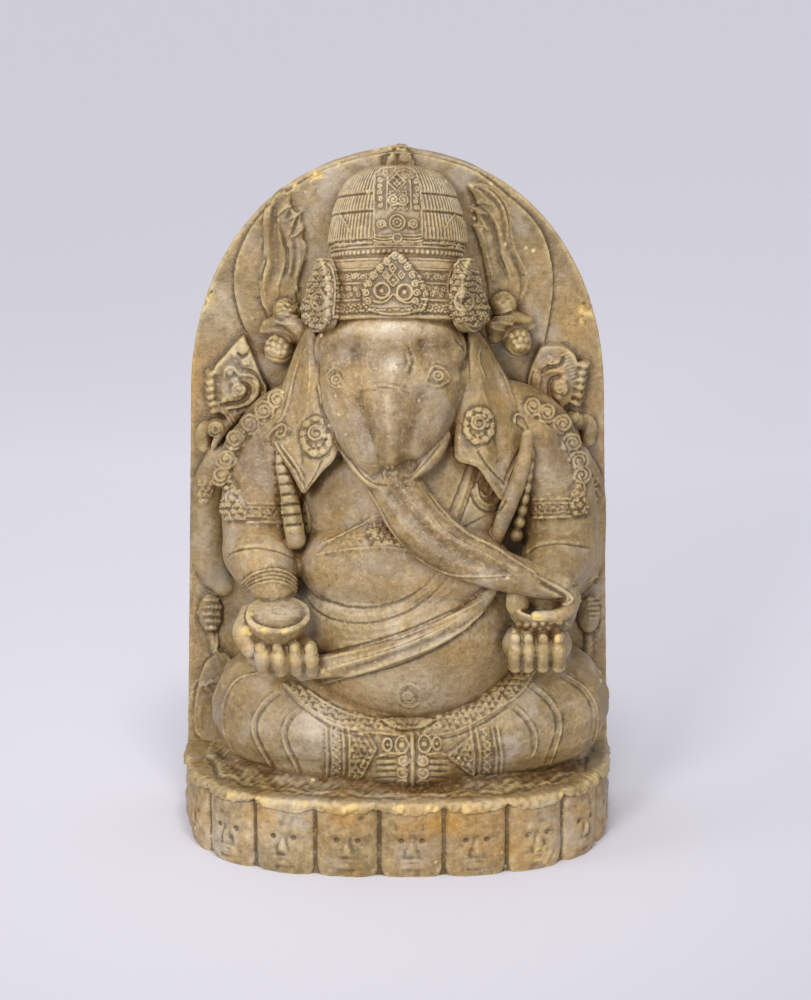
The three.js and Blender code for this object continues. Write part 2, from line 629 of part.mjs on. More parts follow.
// The panel up the front of the hair, with its rosette and rows of beads
function hairPanel() {
  const outline = [[-16, 36], [-15, 60], [-10, 82], [0, 92], [10, 82], [15, 60], [16, 36]];
  const rosettes = [[0, 56, 7], [-9, 49, 4.5], [9, 49, 4.5], [0, 78, 5]];
  const rows = [44, 67].flatMap((z) => [-10, -5, 0, 5, 10].map((x) => [x, z, 2]));
  return [
    plate(outline, -33, -4, 1.5),
    ...[...rosettes, ...rows].map(([x, z, r]) => blob([x, -33, z], [r, 2.4, r], { round: 8, rise: 4 })),
  ].map((body) => body.rotate([-6, 0, 0]));
}

function crown() {
  const beads = Array.from({ length: 15 }, (_, i) => {
    const angle = THREE.MathUtils.degToRad(-160 + 10 * i);
    return blob([49 * Math.cos(angle), 35 * Math.sin(angle), 37], [3, 3, 3], { round: 6, rise: 4 });
  });
  return onCrown(join([...diadem(), hairCap(), ...hairPanel(), ...beads]));
}

// The jewel that tops the crown against the slab's point
function finial() {
  const lobe = { round: 6, rise: 4 };
  return [
    blob([1.6, 34, 441], [6.5, 7, 8], lobe),
    blob([-6, 36, 439], [5, 6, 6], lobe),
    blob([9, 36, 439], [5, 6, 6], lobe),
  ];
}

// Buds and tassels that hang between the ears and the nimbus
function tassels() {
  const bud = { round: 6, rise: 4 };
  return [
    blob([-76, 24, 322], [10, 16, 11], bud),
    blob([77, 24, 325], [10, 16, 11], bud),
    blob([-70, 28, 341], [10, 12, 9], bud),
    blob([68, 28, 344], [10, 12, 11], bud),
  ];
}

// The scrolled fans at the back hands, each with a row of knuckles down its outer side
function fans() {
  const left = [[-98, 327], [-112, 318], [-119, 300], [-118, 280], [-104, 271], [-86, 284], [-88, 310]];
  const right = [[84, 322], [100, 319], [113, 308], [115, 288], [104, 274], [86, 279], [82, 304]];
  const knuckle = ([x, z]) => blob([x, 30, z], [5.5, 5, 4.2], { round: 5, rise: 3 });
  return [
    plate(left, 27, SLAB_FRONT_Y + 2, 2),
    plate(right, 27, SLAB_FRONT_Y + 2, 2),
    ...[[-119, 304], [-121.5, 294], [-121, 283], [-115, 272]].map(knuckle),
    ...[[114, 309], [116.5, 299], [116, 288], [111, 278]].map(knuckle),
    limb([[-108, 26, 256, 8], [-119, 33, 268, 6], [-125, 35, 256, 6]], { sides: 5, steps: 3 }),
    limb([[112, 26, 260, 8], [123, 33, 272, 6], [129, 35, 258, 6]], { sides: 5, steps: 3 }),
  ];
}

function fanScrolls(carve) {
  return [
    carve.ridge(spiral([-100, 290], 12, 1.1, { start: 1.2, way: -1, inner: 0.2, count: 8 }), 2.4),
    carve.stud([-100, 290], 3.4),
    carve.stud([-102, 313], 6, { out: 0.5 }),
    carve.ridge(spiral([100, 289], 12, 1.1, { start: 1.9, inner: 0.2, count: 8 }), 2.4),
    carve.stud([100, 289], 3.4),
    carve.stud([96, 312], 6, { out: 0.5 }),
  ];
}

// The second pair of arms, low on the slab at its sides
function backArms() {
  const arm = (way, out) => {
    const upper = [[114, 28, 246, 11], [out, 35, 226, 11], [out + 1, 37, 196, 12]];
    const stations = [...upper, [out - 1, 38, 172, 12], [out - 10, 38, 158, 8]];
    return limb(stations.map(([x, y, z, r]) => [way * x, y, z, r]), { sides: 6, steps: 5, depth: 0.7 });
  };
  const armlet = (x) => {
    const outline = [[x - 8, 214], [x - 8, 226], [x, 236], [x + 8, 226], [x + 8, 214]];
    return plate(outline, 27, SLAB_FRONT_Y, 1);
  };
  return [arm(-1, 124), arm(1, 126), armlet(-125), armlet(128)];
}

// Lotus buds on their stems, and leaves, low on the slab
function lotuses() {
  const bud = (x, z) => blob([x, 37, z], [8, 7, 14], { round: 6, rise: 4 });
  const stem = (points) => limb(points.map(([x, z]) => [x, 40, z, 2.8]), { sides: 3, steps: 3 });
  const leaf = (x, z, rx, rz) => blob([x, 41, z], [rx, 5, rz], { round: 6, rise: 4 });
  return [
    bud(-124, 140), bud(126.5, 138),
    stem([[-125, 128], [-122, 116], [-126, 104], [-122, 88]]),
    stem([[127, 126], [125, 114], [128, 104], [124, 90]]),
    leaf(-128, 92, 9, 24), leaf(-120, 72, 13, 24), leaf(130, 96, 7, 22),
  ];
}

// Folds of cloth on the belly, the chest and the legs
function clothRelief(carve) {
  const bellyLines = [
    [[-53.5, 190], [-44, 172], [-20, 165], [12, 169], [38, 185], [50, 203]],
    [[-57, 180], [-42, 160], [-12, 155], [18, 159], [42, 170], [58, 182]],
    [[-50, 152], [-17, 148.5], [20, 154], [50, 168]],
  ];
  const legFolds = [
    [[-84, 131], [-93, 105], [-79, 62]],
    [[-70, 124], [-74, 98], [-63, 58]],
    [[82, 117], [90, 97], [87, 74]],
    [[98, 123], [105, 95], [95, 60]],
    [[118, 118], [126, 94], [120, 68]],
  ];
  const chestSashes = [
    [[44, 262], [38, 232], [30, 210]],
    [[56, 256], [47, 226], [46, 204]],
    [[76, 268], [69, 236], [67, 204]],
  ];
  const belt = [[-72, 122.5], [-48.5, 108], [-22.5, 95], [6, 90], [35, 95], [64, 108], [87.5, 122.5]];
  return [
    ...bellyLines.map((points) => carve.ridge(points, 2.6, { steps: 8, sink: 0.3 })),
    ...legFolds.map((points) => carve.ridge(points, 3.2, { steps: 5, sink: 0.3 })),
    ...chestSashes.map((points) => carve.ridge(points, 4, { steps: 4 })),
    carve.ridge(belt, 6, { sides: 5, steps: 8 }),
    carve.ridge([[-52, 210], [-28, 218], [6, 223]], 5, { sides: 4, steps: 4, sink: 0.6 }),
    carve.stud([-8, 214], 6, { out: 0.7 }),
    carve.stud([FIGURE_X + 2, 120.5], 6.5, { round: 8, out: 0.4 }),
  ];
}

// The ornament on the arms, wrists, ankles and feet
function jewellery(carve) {
  const plaque = (x, z, y) => {
    const outline = [[0, 16], [5, 4], [13, -4], [11, -14], [-11, -14], [-13, -4], [-5, 4]];
    return plate(outline.map(([dx, dz]) => [x + dx, z + dz]).reverse(), y, y + 16, 1.5);
  };
  const bracelet = (from, to, radius) => {
    const along = new THREE.Vector3(...to).sub(new THREE.Vector3(...from)).normalize();
    const turn = new THREE.Quaternion().setFromUnitVectors(new THREE.Vector3(0, 0, 1), along);
    const ring = new THREE.TorusGeometry(radius, 2.2, 4, 14);
    ring.applyQuaternion(turn);
    ring.translate(...from);
    return solid(ring);
  };
  const anklet = (x) => carve.ridge([[x, 93], [x, 76], [x, 58]], 3, { steps: 3 });
  const lozenge = (x) => carve.stud([x, 75], 11, { round: 4, rise: 2, out: 0.4 });
  const toes = [[7.5, 86, 5], [6, 76, 4], [5, 67, 3.6], [4, 59, 3.2]].flatMap(([dx, z, radius]) =>
    [-1, 1].map((way) => carve.stud([FEET_X + way * dx, z], radius, { out: 1.3 })),
  );
  return [
    plaque(-105, 234, -22), plaque(116, 236, -20),
    carve.ridge([[-92, 225], [-80, 225], [-70, 225]], 6, { sides: 4, steps: 2, sink: 0.6 }),
    carve.ridge([[84, 229], [96, 229], [105, 228]], 6, { sides: 4, steps: 2, sink: 0.6 }),
    bracelet([-83, -34, 182], [-80, -46, 175], 19.6), bracelet([-81.5, -40, 178], [-80, -46, 175], 18.4),
    bracelet([98, -34, 180], [95, -46, 173], 20), bracelet([96.5, -40, 176], [95, -46, 173], 19),
    anklet(-41), anklet(-32), anklet(51), anklet(60), lozenge(-21), lozenge(40), ...toes,
  ];
}

// The relief on the face, ears and shoulders
function headRelief(carve) {
  const strand = ([x0, z0], [x1, z1], count) => Array.from({ length: count }, (_, i) => {
    const share = i / (count - 1);
    return carve.stud([x0 + (x1 - x0) * share, z0 + (z1 - z0) * share], 6 - 2 * share);
  });
  // Scrolls down the edge of the shoulder cloth
  const scrolls = [
    [-78, 292], [-89, 283], [-99.5, 272], [-107, 258], [-112, 246],
    [88, 289], [99, 282], [108, 271], [113.5, 257], [116, 244],
  ];
  const earring = (at) => [carve.stud(at, 9.5, { round: 8, out: 0.5 }), carve.stud(at, 4, { sink: -0.8 })];
  return [
    carve.stud([HEAD_X - 1, 325], 11, { round: 8, out: 0.2 }),
    carve.stud([-37.8, 314.3], 4, { out: 0.8 }), carve.stud([33.5, 315.6], 4, { out: 0.8 }),
    ...earring([-50, 273]), ...earring([52, 278.5]),
    carve.ridge([[-66, 284], [-74, 287], [-83, 270]], 2.6, { steps: 4 }),
    carve.ridge([[66, 282], [74, 285], [83, 268]], 2.6, { steps: 4 }),
    ...strand([-72, 252], [-65, 200], 5), ...strand([81, 252], [75, 204], 5),
    ...scrolls.map((at) => carve.stud(at, 6.4, { round: 7, out: 0.5 })),
  ];
}

const figure = join([
  plinth(), slab(), nimbus(), ...ribbons(), ...fans(), ...tassels(), ...backArms(), ...lotuses(), ...legs(),
  ...torso(), ...arms(), ...hands(), sashRoll(), ...head(), trunk(), ...tusks(), ...ears(), crown(),
  ...finial(),
]);
const carve = carver(figure);
const relief = [ribbonRidges, fanScrolls, clothRelief, jewellery, headRelief].flatMap((lay) => lay(carve));

const cast = filled(join([figure, ...relief]));

const stele = new THREE.Mesh(lighten(geometryOf(cast), MOST_TRIANGLES), stone);
stele.name = "ganesha_stele";

const model = new THREE.Group();
model.add(stele);

export default model;
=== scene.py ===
import math
import bpy
import numpy as np
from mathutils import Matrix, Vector


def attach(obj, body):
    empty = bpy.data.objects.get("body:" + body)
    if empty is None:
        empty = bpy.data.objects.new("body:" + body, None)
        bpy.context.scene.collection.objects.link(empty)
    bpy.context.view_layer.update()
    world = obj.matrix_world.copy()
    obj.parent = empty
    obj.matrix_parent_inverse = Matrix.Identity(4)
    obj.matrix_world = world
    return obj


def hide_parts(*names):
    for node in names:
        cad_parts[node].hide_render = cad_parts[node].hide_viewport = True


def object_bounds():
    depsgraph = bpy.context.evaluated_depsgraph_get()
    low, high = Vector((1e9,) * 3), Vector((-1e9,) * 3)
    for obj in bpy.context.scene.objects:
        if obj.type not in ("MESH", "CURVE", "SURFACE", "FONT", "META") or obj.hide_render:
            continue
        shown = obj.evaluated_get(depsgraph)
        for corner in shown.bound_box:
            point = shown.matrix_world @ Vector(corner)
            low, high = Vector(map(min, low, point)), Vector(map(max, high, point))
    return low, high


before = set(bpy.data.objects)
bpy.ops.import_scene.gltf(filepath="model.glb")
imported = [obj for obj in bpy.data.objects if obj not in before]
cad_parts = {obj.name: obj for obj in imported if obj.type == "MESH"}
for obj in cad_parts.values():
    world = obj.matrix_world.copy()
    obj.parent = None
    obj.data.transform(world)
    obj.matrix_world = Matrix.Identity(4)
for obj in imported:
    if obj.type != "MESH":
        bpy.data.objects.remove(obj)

cad_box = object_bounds()
NODE = "ganesha_stele"
MM = 0.001

# Places are millimetres in the cast's own frame: +Z up, the front faces -Y.
BACK_Y = 84
PLINTH_TOP_Z = 50
HEM_Z = 45.5
SLAB_FRONT_Y = 40
CUT_Y = 44
SKULL_PITCH = 41
SKULL_HALF = SKULL_PITCH / 2
MIDDLE_SKULL = 9
SKULL_SETBACK = 9.7
HEAD_X = -4.5
CROWN_PLACE = (-1.5, 6, 348)
CROWN_LEAN = math.radians(18)
CROWN_GIRTH = 50
HAIR_STRANDS = 104
WALL_HALF_WIDTH = 138.5
WALL_REACH = 120
WALL_DEPTH = 160
WALL_POWER = 2.8
SLAB_FOOT_HALF_WIDTH = 140.5
ARCH_FOOT_Z = 284
ARCH_HALF_WIDTH = 134.5
ARCH_HEIGHT = 162
ARCH_POWER = 2.1

# The most triangles left in each skin
SLAB_TRIANGLES = 165000
LEG_TRIANGLES = 150000
BODY_TRIANGLES = 185000
HEAD_TRIANGLES = 160000
CROWN_TRIANGLES = 195000

# Enlarged corners of the front drawing: where each starts, and how many times it is enlarged
LEFT_FAN_DETAIL = (180, 320, 7.127)
RIGHT_FAN_DETAIL = (390, 320, 6.817)
LAP_DETAIL = (180, 560, 4.4)
ARM_DETAIL = (180, 400, 4.4)

# The colour sockets of a mix node
MIX_UNDER, MIX_TOP, MIX_RESULT = 6, 7, 2

# The view that the front is drawn from
EYE = np.array([0, -1855.0, 716.0])
EYE_FALL = math.radians(14.7713)
EYE_REACH = 2985.57
EYE_MIDDLE = (397.5, 500)
PER_PIXEL = 0.643


def seen(points):
    """Where points of the cast lie in the front drawing, which is 811 wide and 1000 high."""
    away = points - EYE
    ahead = np.array([0, math.cos(EYE_FALL), -math.sin(EYE_FALL)])
    upward = np.array([0, math.sin(EYE_FALL), math.cos(EYE_FALL)])
    depth = away @ ahead
    across = EYE_MIDDLE[0] + EYE_REACH * away[:, 0] / depth
    down = EYE_MIDDLE[1] - EYE_REACH * (away @ upward) / depth
    return np.stack([across, down], 1)


def drawn(*numbers):
    """Points from a run of numbers, two to a point."""
    return list(zip(numbers[::2], numbers[1::2]))


def detail(corner, x, y):
    """A place in the front drawing from its place in an enlarged corner."""
    return corner[0] + x / corner[2], corner[1] + y / corner[2]


def cut_behind(piece):
    """Takes off what lies inside the slab, and closes the cut."""
    take(piece)
    bpy.ops.object.mode_set(mode="EDIT")
    bpy.ops.mesh.select_all(action="SELECT")
    bpy.ops.mesh.bisect(
        plane_co=(0, CUT_Y * MM, 0), plane_no=(0, 1, 0), use_fill=True, clear_outer=True, threshold=1e-7
    )
    bpy.ops.object.mode_set(mode="OBJECT")
    return piece


def let_go():
    """Deselects everything."""
    bpy.ops.object.select_all(action="DESELECT")


def take(piece):
    """Selects one piece alone and makes it the one in hand."""
    let_go()
    piece.select_set(True)
    bpy.context.view_layer.objects.active = piece


def settled(piece):
    """The piece with its place, turn and size in its mesh."""
    take(piece)
    bpy.ops.object.transform_apply(location=True, rotation=True, scale=True)
    return piece


def ball(place, radii, turn=(0, 0, 0), steps=4):
    let_go()
    bpy.ops.mesh.primitive_ico_sphere_add(
        subdivisions=steps,
        radius=MM,
        location=[c * MM for c in place],
        rotation=[math.radians(a) for a in turn],
        scale=radii,
    )
    return settled(bpy.context.object)


def limb(stations, depth=1):
    """A round limb through stations (x, y, z, radius), its depth along Y less than its width."""
    let_go()
    bpy.ops.curve.primitive_nurbs_path_add()
    piece = bpy.context.object
    points = curved(stations, 6)
    curve = piece.data
    curve.splines.clear()
    path = curve.splines.new("POLY")
    path.points.add(len(points) - 1)
    for point, (x, y, z, radius) in zip(path.points, points):
        point.co = (x * MM, y * MM / depth, z * MM, 1)
        point.radius = radius
    curve.dimensions = "3D"
    curve.twist_mode = "MINIMUM"
    curve.bevel_depth = MM
    curve.bevel_resolution = 6
    curve.use_fill_caps = True
    take(piece)
    bpy.ops.object.convert(target="MESH")
    parts = [bpy.context.object]
    for x, y, z, radius in (points[0], points[-1]):
        let_go()
        bpy.ops.mesh.primitive_ico_sphere_add(
            subdivisions=3, radius=radius * MM, location=(x * MM, y * MM / depth, z * MM)
        )
        parts.append(settled(bpy.context.object))
    whole = joined(parts)
    whole.scale = (1, depth, 1)
    return settled(whole)


def curved(points, steps, closed=False):
    """Points on one smooth curve through the given ones."""
    given = np.array(points, float)
    count = len(given)
    spans = count if closed else count - 1
    out = []
    for i in range(spans):
        if closed:
            a, b, c, d = (given[(i + k) % count] for k in (-1, 0, 1, 2))
        else:
            b, c = given[i], given[i + 1]
            a = given[i - 1] if i else 2 * b - c
            d = given[i + 2] if i + 2 < count else 2 * c - b
        for k in range(steps):
            t = k / steps
            bend = 2 * a - 5 * b + 4 * c - d
            twist = 3 * b - a - 3 * c + d
            out.append(0.5 * (2 * b + (c - a) * t + bend * t * t + twist * t**3))
    if not closed:
        out.append(given[-1])
    return np.array(out)


def plate(outline, front, back):
    """A flat piece of an outline (x, z) from one depth to another."""
    let_go()
    bpy.ops.mesh.primitive_circle_add(vertices=len(outline), fill_type="NGON")
    piece = bpy.context.object
    for vertex, (x, z) in zip(piece.data.vertices, outline):
        vertex.co = (x * MM, back * MM, z * MM)
    bpy.ops.object.mode_set(mode="EDIT")
    bpy.ops.mesh.select_all(action="SELECT")
    bpy.ops.mesh.extrude_region_move(TRANSFORM_OT_translate={"value": (0, (front - back) * MM, 0)})
    bpy.ops.object.mode_set(mode="OBJECT")
    turned_out()
    return settled(piece)


def turned_out(triangles=True):
    """Turns the faces of the piece in hand outwards."""
    bpy.ops.object.mode_set(mode="EDIT")
    bpy.ops.mesh.select_all(action="SELECT")
    bpy.ops.mesh.normals_make_consistent(inside=False)
    if triangles:
        bpy.ops.mesh.quads_convert_to_tris()
    bpy.ops.object.mode_set(mode="OBJECT")


def stacked(rings, triangles=True):
    """A closed form drawn up through rings of points."""
    let_go()
    bpy.ops.mesh.primitive_circle_add(vertices=len(rings[0]), fill_type="NGON")
    piece = bpy.context.object
    bpy.ops.object.mode_set(mode="EDIT")
    for _ in rings[1:]:
        bpy.ops.mesh.extrude_region_move(TRANSFORM_OT_translate={"value": (0, 0, MM)})
    bpy.ops.object.mode_set(mode="OBJECT")
    put(piece, np.concatenate(rings))
    turned_out(triangles)
    return piece


def joined(parts, name=None):
    let_go()
    for part in parts:
        part.select_set(True)
    bpy.context.view_layer.objects.active = parts[0]
    if len(parts) > 1:
        bpy.ops.object.join()
    whole = bpy.context.object
    if name:
        whole.name = name
        whole.data.name = name
    return whole


def finished(piece, kind, **settings):
    """Adds one modifier and applies it."""
    take(piece)
    made = piece.modifiers.new(kind.lower(), kind)
    for key, value in settings.items():
        setattr(made, key, value)
    bpy.ops.object.modifier_apply(modifier=made.name)
    return piece


def mesh_width(fine):
    """How wide a skin's mesh is."""
    return fine


def fused(piece, width):
    """One skin over everything in the piece."""
    return finished(piece, "REMESH", mode="VOXEL", voxel_size=width * MM, use_smooth_shade=True)


def eased(piece, times, factor=0.5):
    return finished(piece, "SMOOTH", factor=factor, iterations=times)


def knocked(points):
    """How freshly broken each point is, 0 to 1, and how deep the break goes there."""
    ragged = (1 + 0.5 * uneven(points, 5, 63)).clip(0.5, 1.6)
    fresh = np.zeros(len(points))
    depth = np.zeros(len(points))
    for x, y, z, reach, deep in KNOCKS:
        close = np.nonzero(np.abs(points - [x, y, z]).max(1) < 2 * reach)[0]
        gap = np.linalg.norm(points[close] - [x, y, z], axis=1)
        share = np.clip(1.25 - gap / (reach * ragged[close]), 0, 1)
        fresh[close] = np.maximum(fresh[close], share)
        depth[close] += deep * share
    return fresh, depth


def thinned(piece, most):
    """Takes the evenness off the faces, knocks the cast, and joins needless triangles."""
    points = places(piece)
    out = facings(piece)
    rough = 0.055 * uneven(points, 9, 61) + 0.03 * uneven(points, 3.2, 62) - knocked(points)[1]
    put(piece, points + out * rough[:, None])
    count = sum(len(p.vertices) - 2 for p in piece.data.polygons)
    if count > most:
        finished(piece, "DECIMATE", ratio=most / count)
    return piece


def places(piece):
    """The piece's points in millimetres."""
    flat = np.empty(len(piece.data.vertices) * 3, np.float32)
    piece.data.vertices.foreach_get("co", flat)
    return flat.reshape(-1, 3).astype(float) / MM


def facings(piece):
    """Which way the surface faces at each point."""
    flat = np.empty(len(piece.data.vertices) * 3, np.float32)
    piece.data.vertex_normals.foreach_get("vector", flat)
    return flat.reshape(-1, 3).astype(float)


def put(piece, points):
    piece.data.vertices.foreach_set("co", (points * MM).astype(np.float32).ravel())
    piece.data.update()


def bell(distance, width):
    """One at no distance, fading away past the width."""
    return np.exp(-((distance / width) ** 2))


def rise(value, low, high):
    """A soft step from 0 at low to 1 at high."""
    share = np.clip((value - low) / (high - low), 0, 1)
    return share * share * (3 - 2 * share)


def uneven(points, reach, seed):
    """A smooth random swell over space, about one high, with waves as long as the reach."""
    rng = np.random.default_rng(seed)
    total = np.zeros(len(points))
    for _ in range(16):
        way = rng.normal(size=3)
        way /= np.linalg.norm(way)
        length = reach * rng.uniform(0.6, 1.5)
        total += np.sin(points @ way * 2 * math.pi / length + rng.uniform(0, 2 * math.pi))
    return total / 2.83


class Carving:
    """Raised and sunk work on one piece, laid out on a flat drawing that wraps onto its front.
    Widths and heights are millimetres, and places are the drawing's own units.
    Where depths are set, only points between those two places along Y are worked."""

    def __init__(self, piece):
        self.piece = piece
        self.points = places(piece)
        self.out = facings(piece)
        sight = EYE - self.points
        sight /= np.linalg.norm(sight, axis=1)[:, None]
        turned = (self.out * sight).sum(1)
        facing = 0.1
        self.hold = rise(turned, facing, facing + 0.2)
        self.depths = None
        self.level = np.zeros(len(self.points))
        self.raised = np.zeros(len(self.points))
        self.sunk = np.zeros(len(self.points))
        self.draw_on(seen(self.points), PER_PIXEL)

    def draw_on(self, at, unit, without=()):
        """Lays the drawing out another way, and off the outlines in without, which are in the old one."""
        bare = self.hold > 0
        for outline in without:
            some = np.nonzero(bare)[0]
            bare[some[self.inside(some, np.array(outline, float))]] = False
        self.at = at
        self.unit = unit
        self.shown = np.nonzero(bare)[0]
        self.shown = self.shown[np.argsort(self.at[self.shown, 0])]
        self.sorted = self.at[self.shown, 0]

    def near(self, points, reach):
        points = np.atleast_2d(points)
        low, high = points.min(0) - reach, points.max(0) + reach
        first, last = np.searchsorted(self.sorted, [low[0], high[0]])
        some = self.shown[first:last]
        down = self.at[some, 1]
        some = some[(down > low[1]) & (down < high[1])]
        if self.depths:
            y = self.points[some, 1]
            some = some[(y > self.depths[0]) & (y < self.depths[1])]
        return some

    def distances(self, some, points, closed=False):
        points = np.asarray(points, float)
        if closed:
            points = np.vstack([points, points[:1]])
        at = self.at[some]
        best = np.full(len(some), 1e9)
        along = np.zeros(len(some))
        run = 0
        for start, end in zip(points[:-1], points[1:]):
            step = end - start
            length = np.hypot(*step)
            if length == 0:
                continue
            share = np.clip(((at - start) @ step) / length**2, 0, 1)
            gap = np.hypot(*(at - start - share[:, None] * step).T)
            closer = gap < best
            best[closer] = gap[closer]
            along[closer] = run + share[closer] * length
            run += length
        return best * self.unit, along / max(run, 1e-6)

    def lift(self, some, heights):
        self.raised[some] = np.maximum(self.raised[some], heights)

    def sink(self, some, depths):
        self.sunk[some] = np.maximum(self.sunk[some], depths)

    def cord(self, points, width, height, taper=0, smooth=True, closed=False):
        """A raised round line, width across, whose ends are thinner by the taper."""
        path = curved(points, 6, closed) if smooth and len(points) > 2 else np.array(points, float)
        some = self.near(path, width / self.unit)
        gap, along = self.distances(some, path, closed)
        half = width / 2
        if taper:
            half = half * (1 - taper * np.abs(2 * along - 1) ** 3)
        self.lift(some, height * np.sqrt(np.clip(1 - (gap / half) ** 2, 0, 1)))

    def groove(self, points, width, depth, taper=0, smooth=True, closed=False):
        """A sunk line with sloping sides, whose ends are shallower by the taper."""
        path = curved(points, 6, closed) if smooth and len(points) > 2 else np.array(points, float)
        some = self.near(path, width / self.unit)
        gap, along = self.distances(some, path, closed)
        deep = depth * np.clip(1 - (gap / (width / 2)) ** 2, 0, 1)
        if taper:
            deep = deep * (1 - taper * np.abs(2 * along - 1) ** 3)
        self.sink(some, deep)

    def swell(self, points, width, height):
        """A soft hump along a line, or a soft hollow where the height is below nothing."""
        path = curved(points, 6) if len(points) > 2 else np.array(points, float)
        some = self.near(path, 1.3 * width / self.unit)
        gap, _ = self.distances(some, path)
        self.level[some] += height * bell(gap, width / 2)

    def bead(self, place, radius, height):
        some = self.near([place], radius / self.unit)
        gap = np.hypot(*(self.at[some] - np.array(place)).T) * self.unit
        self.lift(some, height * np.sqrt(np.clip(1 - (gap / radius) ** 2, 0, 1)))

    def hole(self, place, radius, depth):
        some = self.near([place], radius / self.unit)
        gap = np.hypot(*(self.at[some] - np.array(place)).T) * self.unit
        self.sink(some, depth * np.clip(1 - (gap / radius) ** 2, 0, 1))

    def inside(self, some, outline):
        x, y = self.at[some].T
        count = np.zeros(len(some), int)
        ends = np.roll(outline, -1, 0)
        for (ax, ay), (bx, by) in zip(outline, ends):
            if ay == by:
                continue
            crossing = (ay > y) != (by > y)
            count[crossing] += (x[crossing] < (bx - ax) * (y[crossing] - ay) / (by - ay) + ax).astype(int)
        return count % 2 == 1

    def field(self, outline, height, edge=1.2):
        """A raised flat shape with a sloping border. A height below nothing sinks it."""
        outline = np.array(outline, float)
        some = self.near(outline, 0)
        some = some[self.inside(some, outline)]
        gap, _ = self.distances(some, outline, True)
        full = rise(gap, 0, edge)
        if height > 0:
            self.level[some] = np.maximum(self.level[some], height * full)
        else:
            self.level[some] = np.minimum(self.level[some], height * full)

    def beads(self, points, pitch, radius, height):
        for place in spaced(np.array(points, float), pitch / self.unit):
            self.bead(place, radius, height)

    def ring(self, place, radius, width, height, squash=1):
        turns = np.linspace(0, 2 * math.pi, 25)[:-1]
        reach = radius / self.unit
        points = np.stack([place[0] + reach * np.cos(turns), place[1] + reach * squash * np.sin(turns)],
            1)
        self.cord(points, width, height, smooth=False, closed=True)

    def whorl(self, place, radius, turns, start, way, height):
        """A coiled tendril with an eye at its middle."""
        band = radius / (turns + 0.35) * 0.78
        self.cord(coil(place, radius / self.unit, turns, start, way), band, height, smooth=False)
        self.bead(place, radius * 0.24, height * 1.1)

    def floret(self, place, radius, petals, height):
        self.hole(place, radius * 0.62, height * 0.35)
        self.bead(place, radius * 0.3, height * 1.1)
        for i in range(petals):
            turn = 2 * math.pi * i / petals + 0.3
            reach = radius * 0.74 / self.unit
            petal = (place[0] + reach * math.cos(turn), place[1] + reach * math.sin(turn))
            self.bead(petal, radius * math.pi * 0.74 / petals * 0.9, height * 0.9)

    def tendrils(self, outline, pitch, height, seed, base=0):
        """Close scrollwork that fills an outline: coils turning both ways, with small beads between."""
        outline = np.array(outline, float)
        rng = np.random.default_rng(seed)
        if base:
            self.field(outline, base, 0.8)
        step = pitch / self.unit
        low, high = outline.min(0), outline.max(0)
        rows = int((high[1] - low[1]) / (step * 0.86)) + 2
        for row in range(rows):
            y = low[1] + (row + 0.5) * step * 0.86
            columns = int((high[0] - low[0]) / step) + 2
            for column in range(columns):
                x = low[0] + (column + 0.5 * (row % 2)) * step
                turn = rng.uniform(0, 2 * math.pi)
                push = rng.uniform(-0.12, 0.12, 2) * step
                size = rng.uniform(0.4, 0.5) * pitch
                if within((x, y), outline, step * 0.3):
                    way = 1 if (row + column) % 2 else -1
                    self.whorl((x + push[0], y + push[1]), size, 1.3, turn, way, height)
                beady = (x + 0.5 * step, y + 0.29 * step)
                if within(beady, outline, step * 0.12):
                    self.bead(beady, 0.13 * pitch + 0.2, height * 0.9)

    def lay(self, scale=1):
        height = (self.level + self.raised - self.sunk) * self.hold * scale
        put(self.piece, self.points + self.out * height[:, None])
        return self.piece


def coil(place, reach, turns, start=0.0, way=1, count=14):
    """A spiral from its outer end in to its eye."""
    shares = np.linspace(0, 1, int(count * turns) + 2)
    radius = reach * (1 - 0.8 * shares) * 0.88
    angle = start + way * 2 * math.pi * turns * shares
    return np.stack([place[0] + radius * np.cos(angle), place[1] + radius * np.sin(angle)], 1)


def spaced(path, pitch):
    """Places along a path, as near to the pitch as fills it evenly."""
    gaps = np.hypot(*np.diff(path, axis=0).T)
    run = np.concatenate([[0], np.cumsum(gaps)])
    count = max(2, int(round(run[-1] / pitch)) + 1)
    marks = np.linspace(0, run[-1], count)
    return np.stack([np.interp(marks, run, path[:, 0]), np.interp(marks, run, path[:, 1])], 1)


def within(place, outline, margin):
    """Whether a place is inside an outline and at least the margin from its border."""
    x, y = place
    ends = np.roll(outline, -1, 0)
    hits = 0
    least = 1e9
    for (ax, ay), (bx, by) in zip(outline, ends):
        if (ay > y) != (by > y) and x < (bx - ax) * (y - ay) / (by - ay) + ax:
            hits += 1
        dx, dy = bx - ax, by - ay
        share = min(1, max(0, ((x - ax) * dx + (y - ay) * dy) / (dx * dx + dy * dy + 1e-9)))
        least = min(least, math.hypot(x - ax - share * dx, y - ay - share * dy))
    return hits % 2 == 1 and least > margin


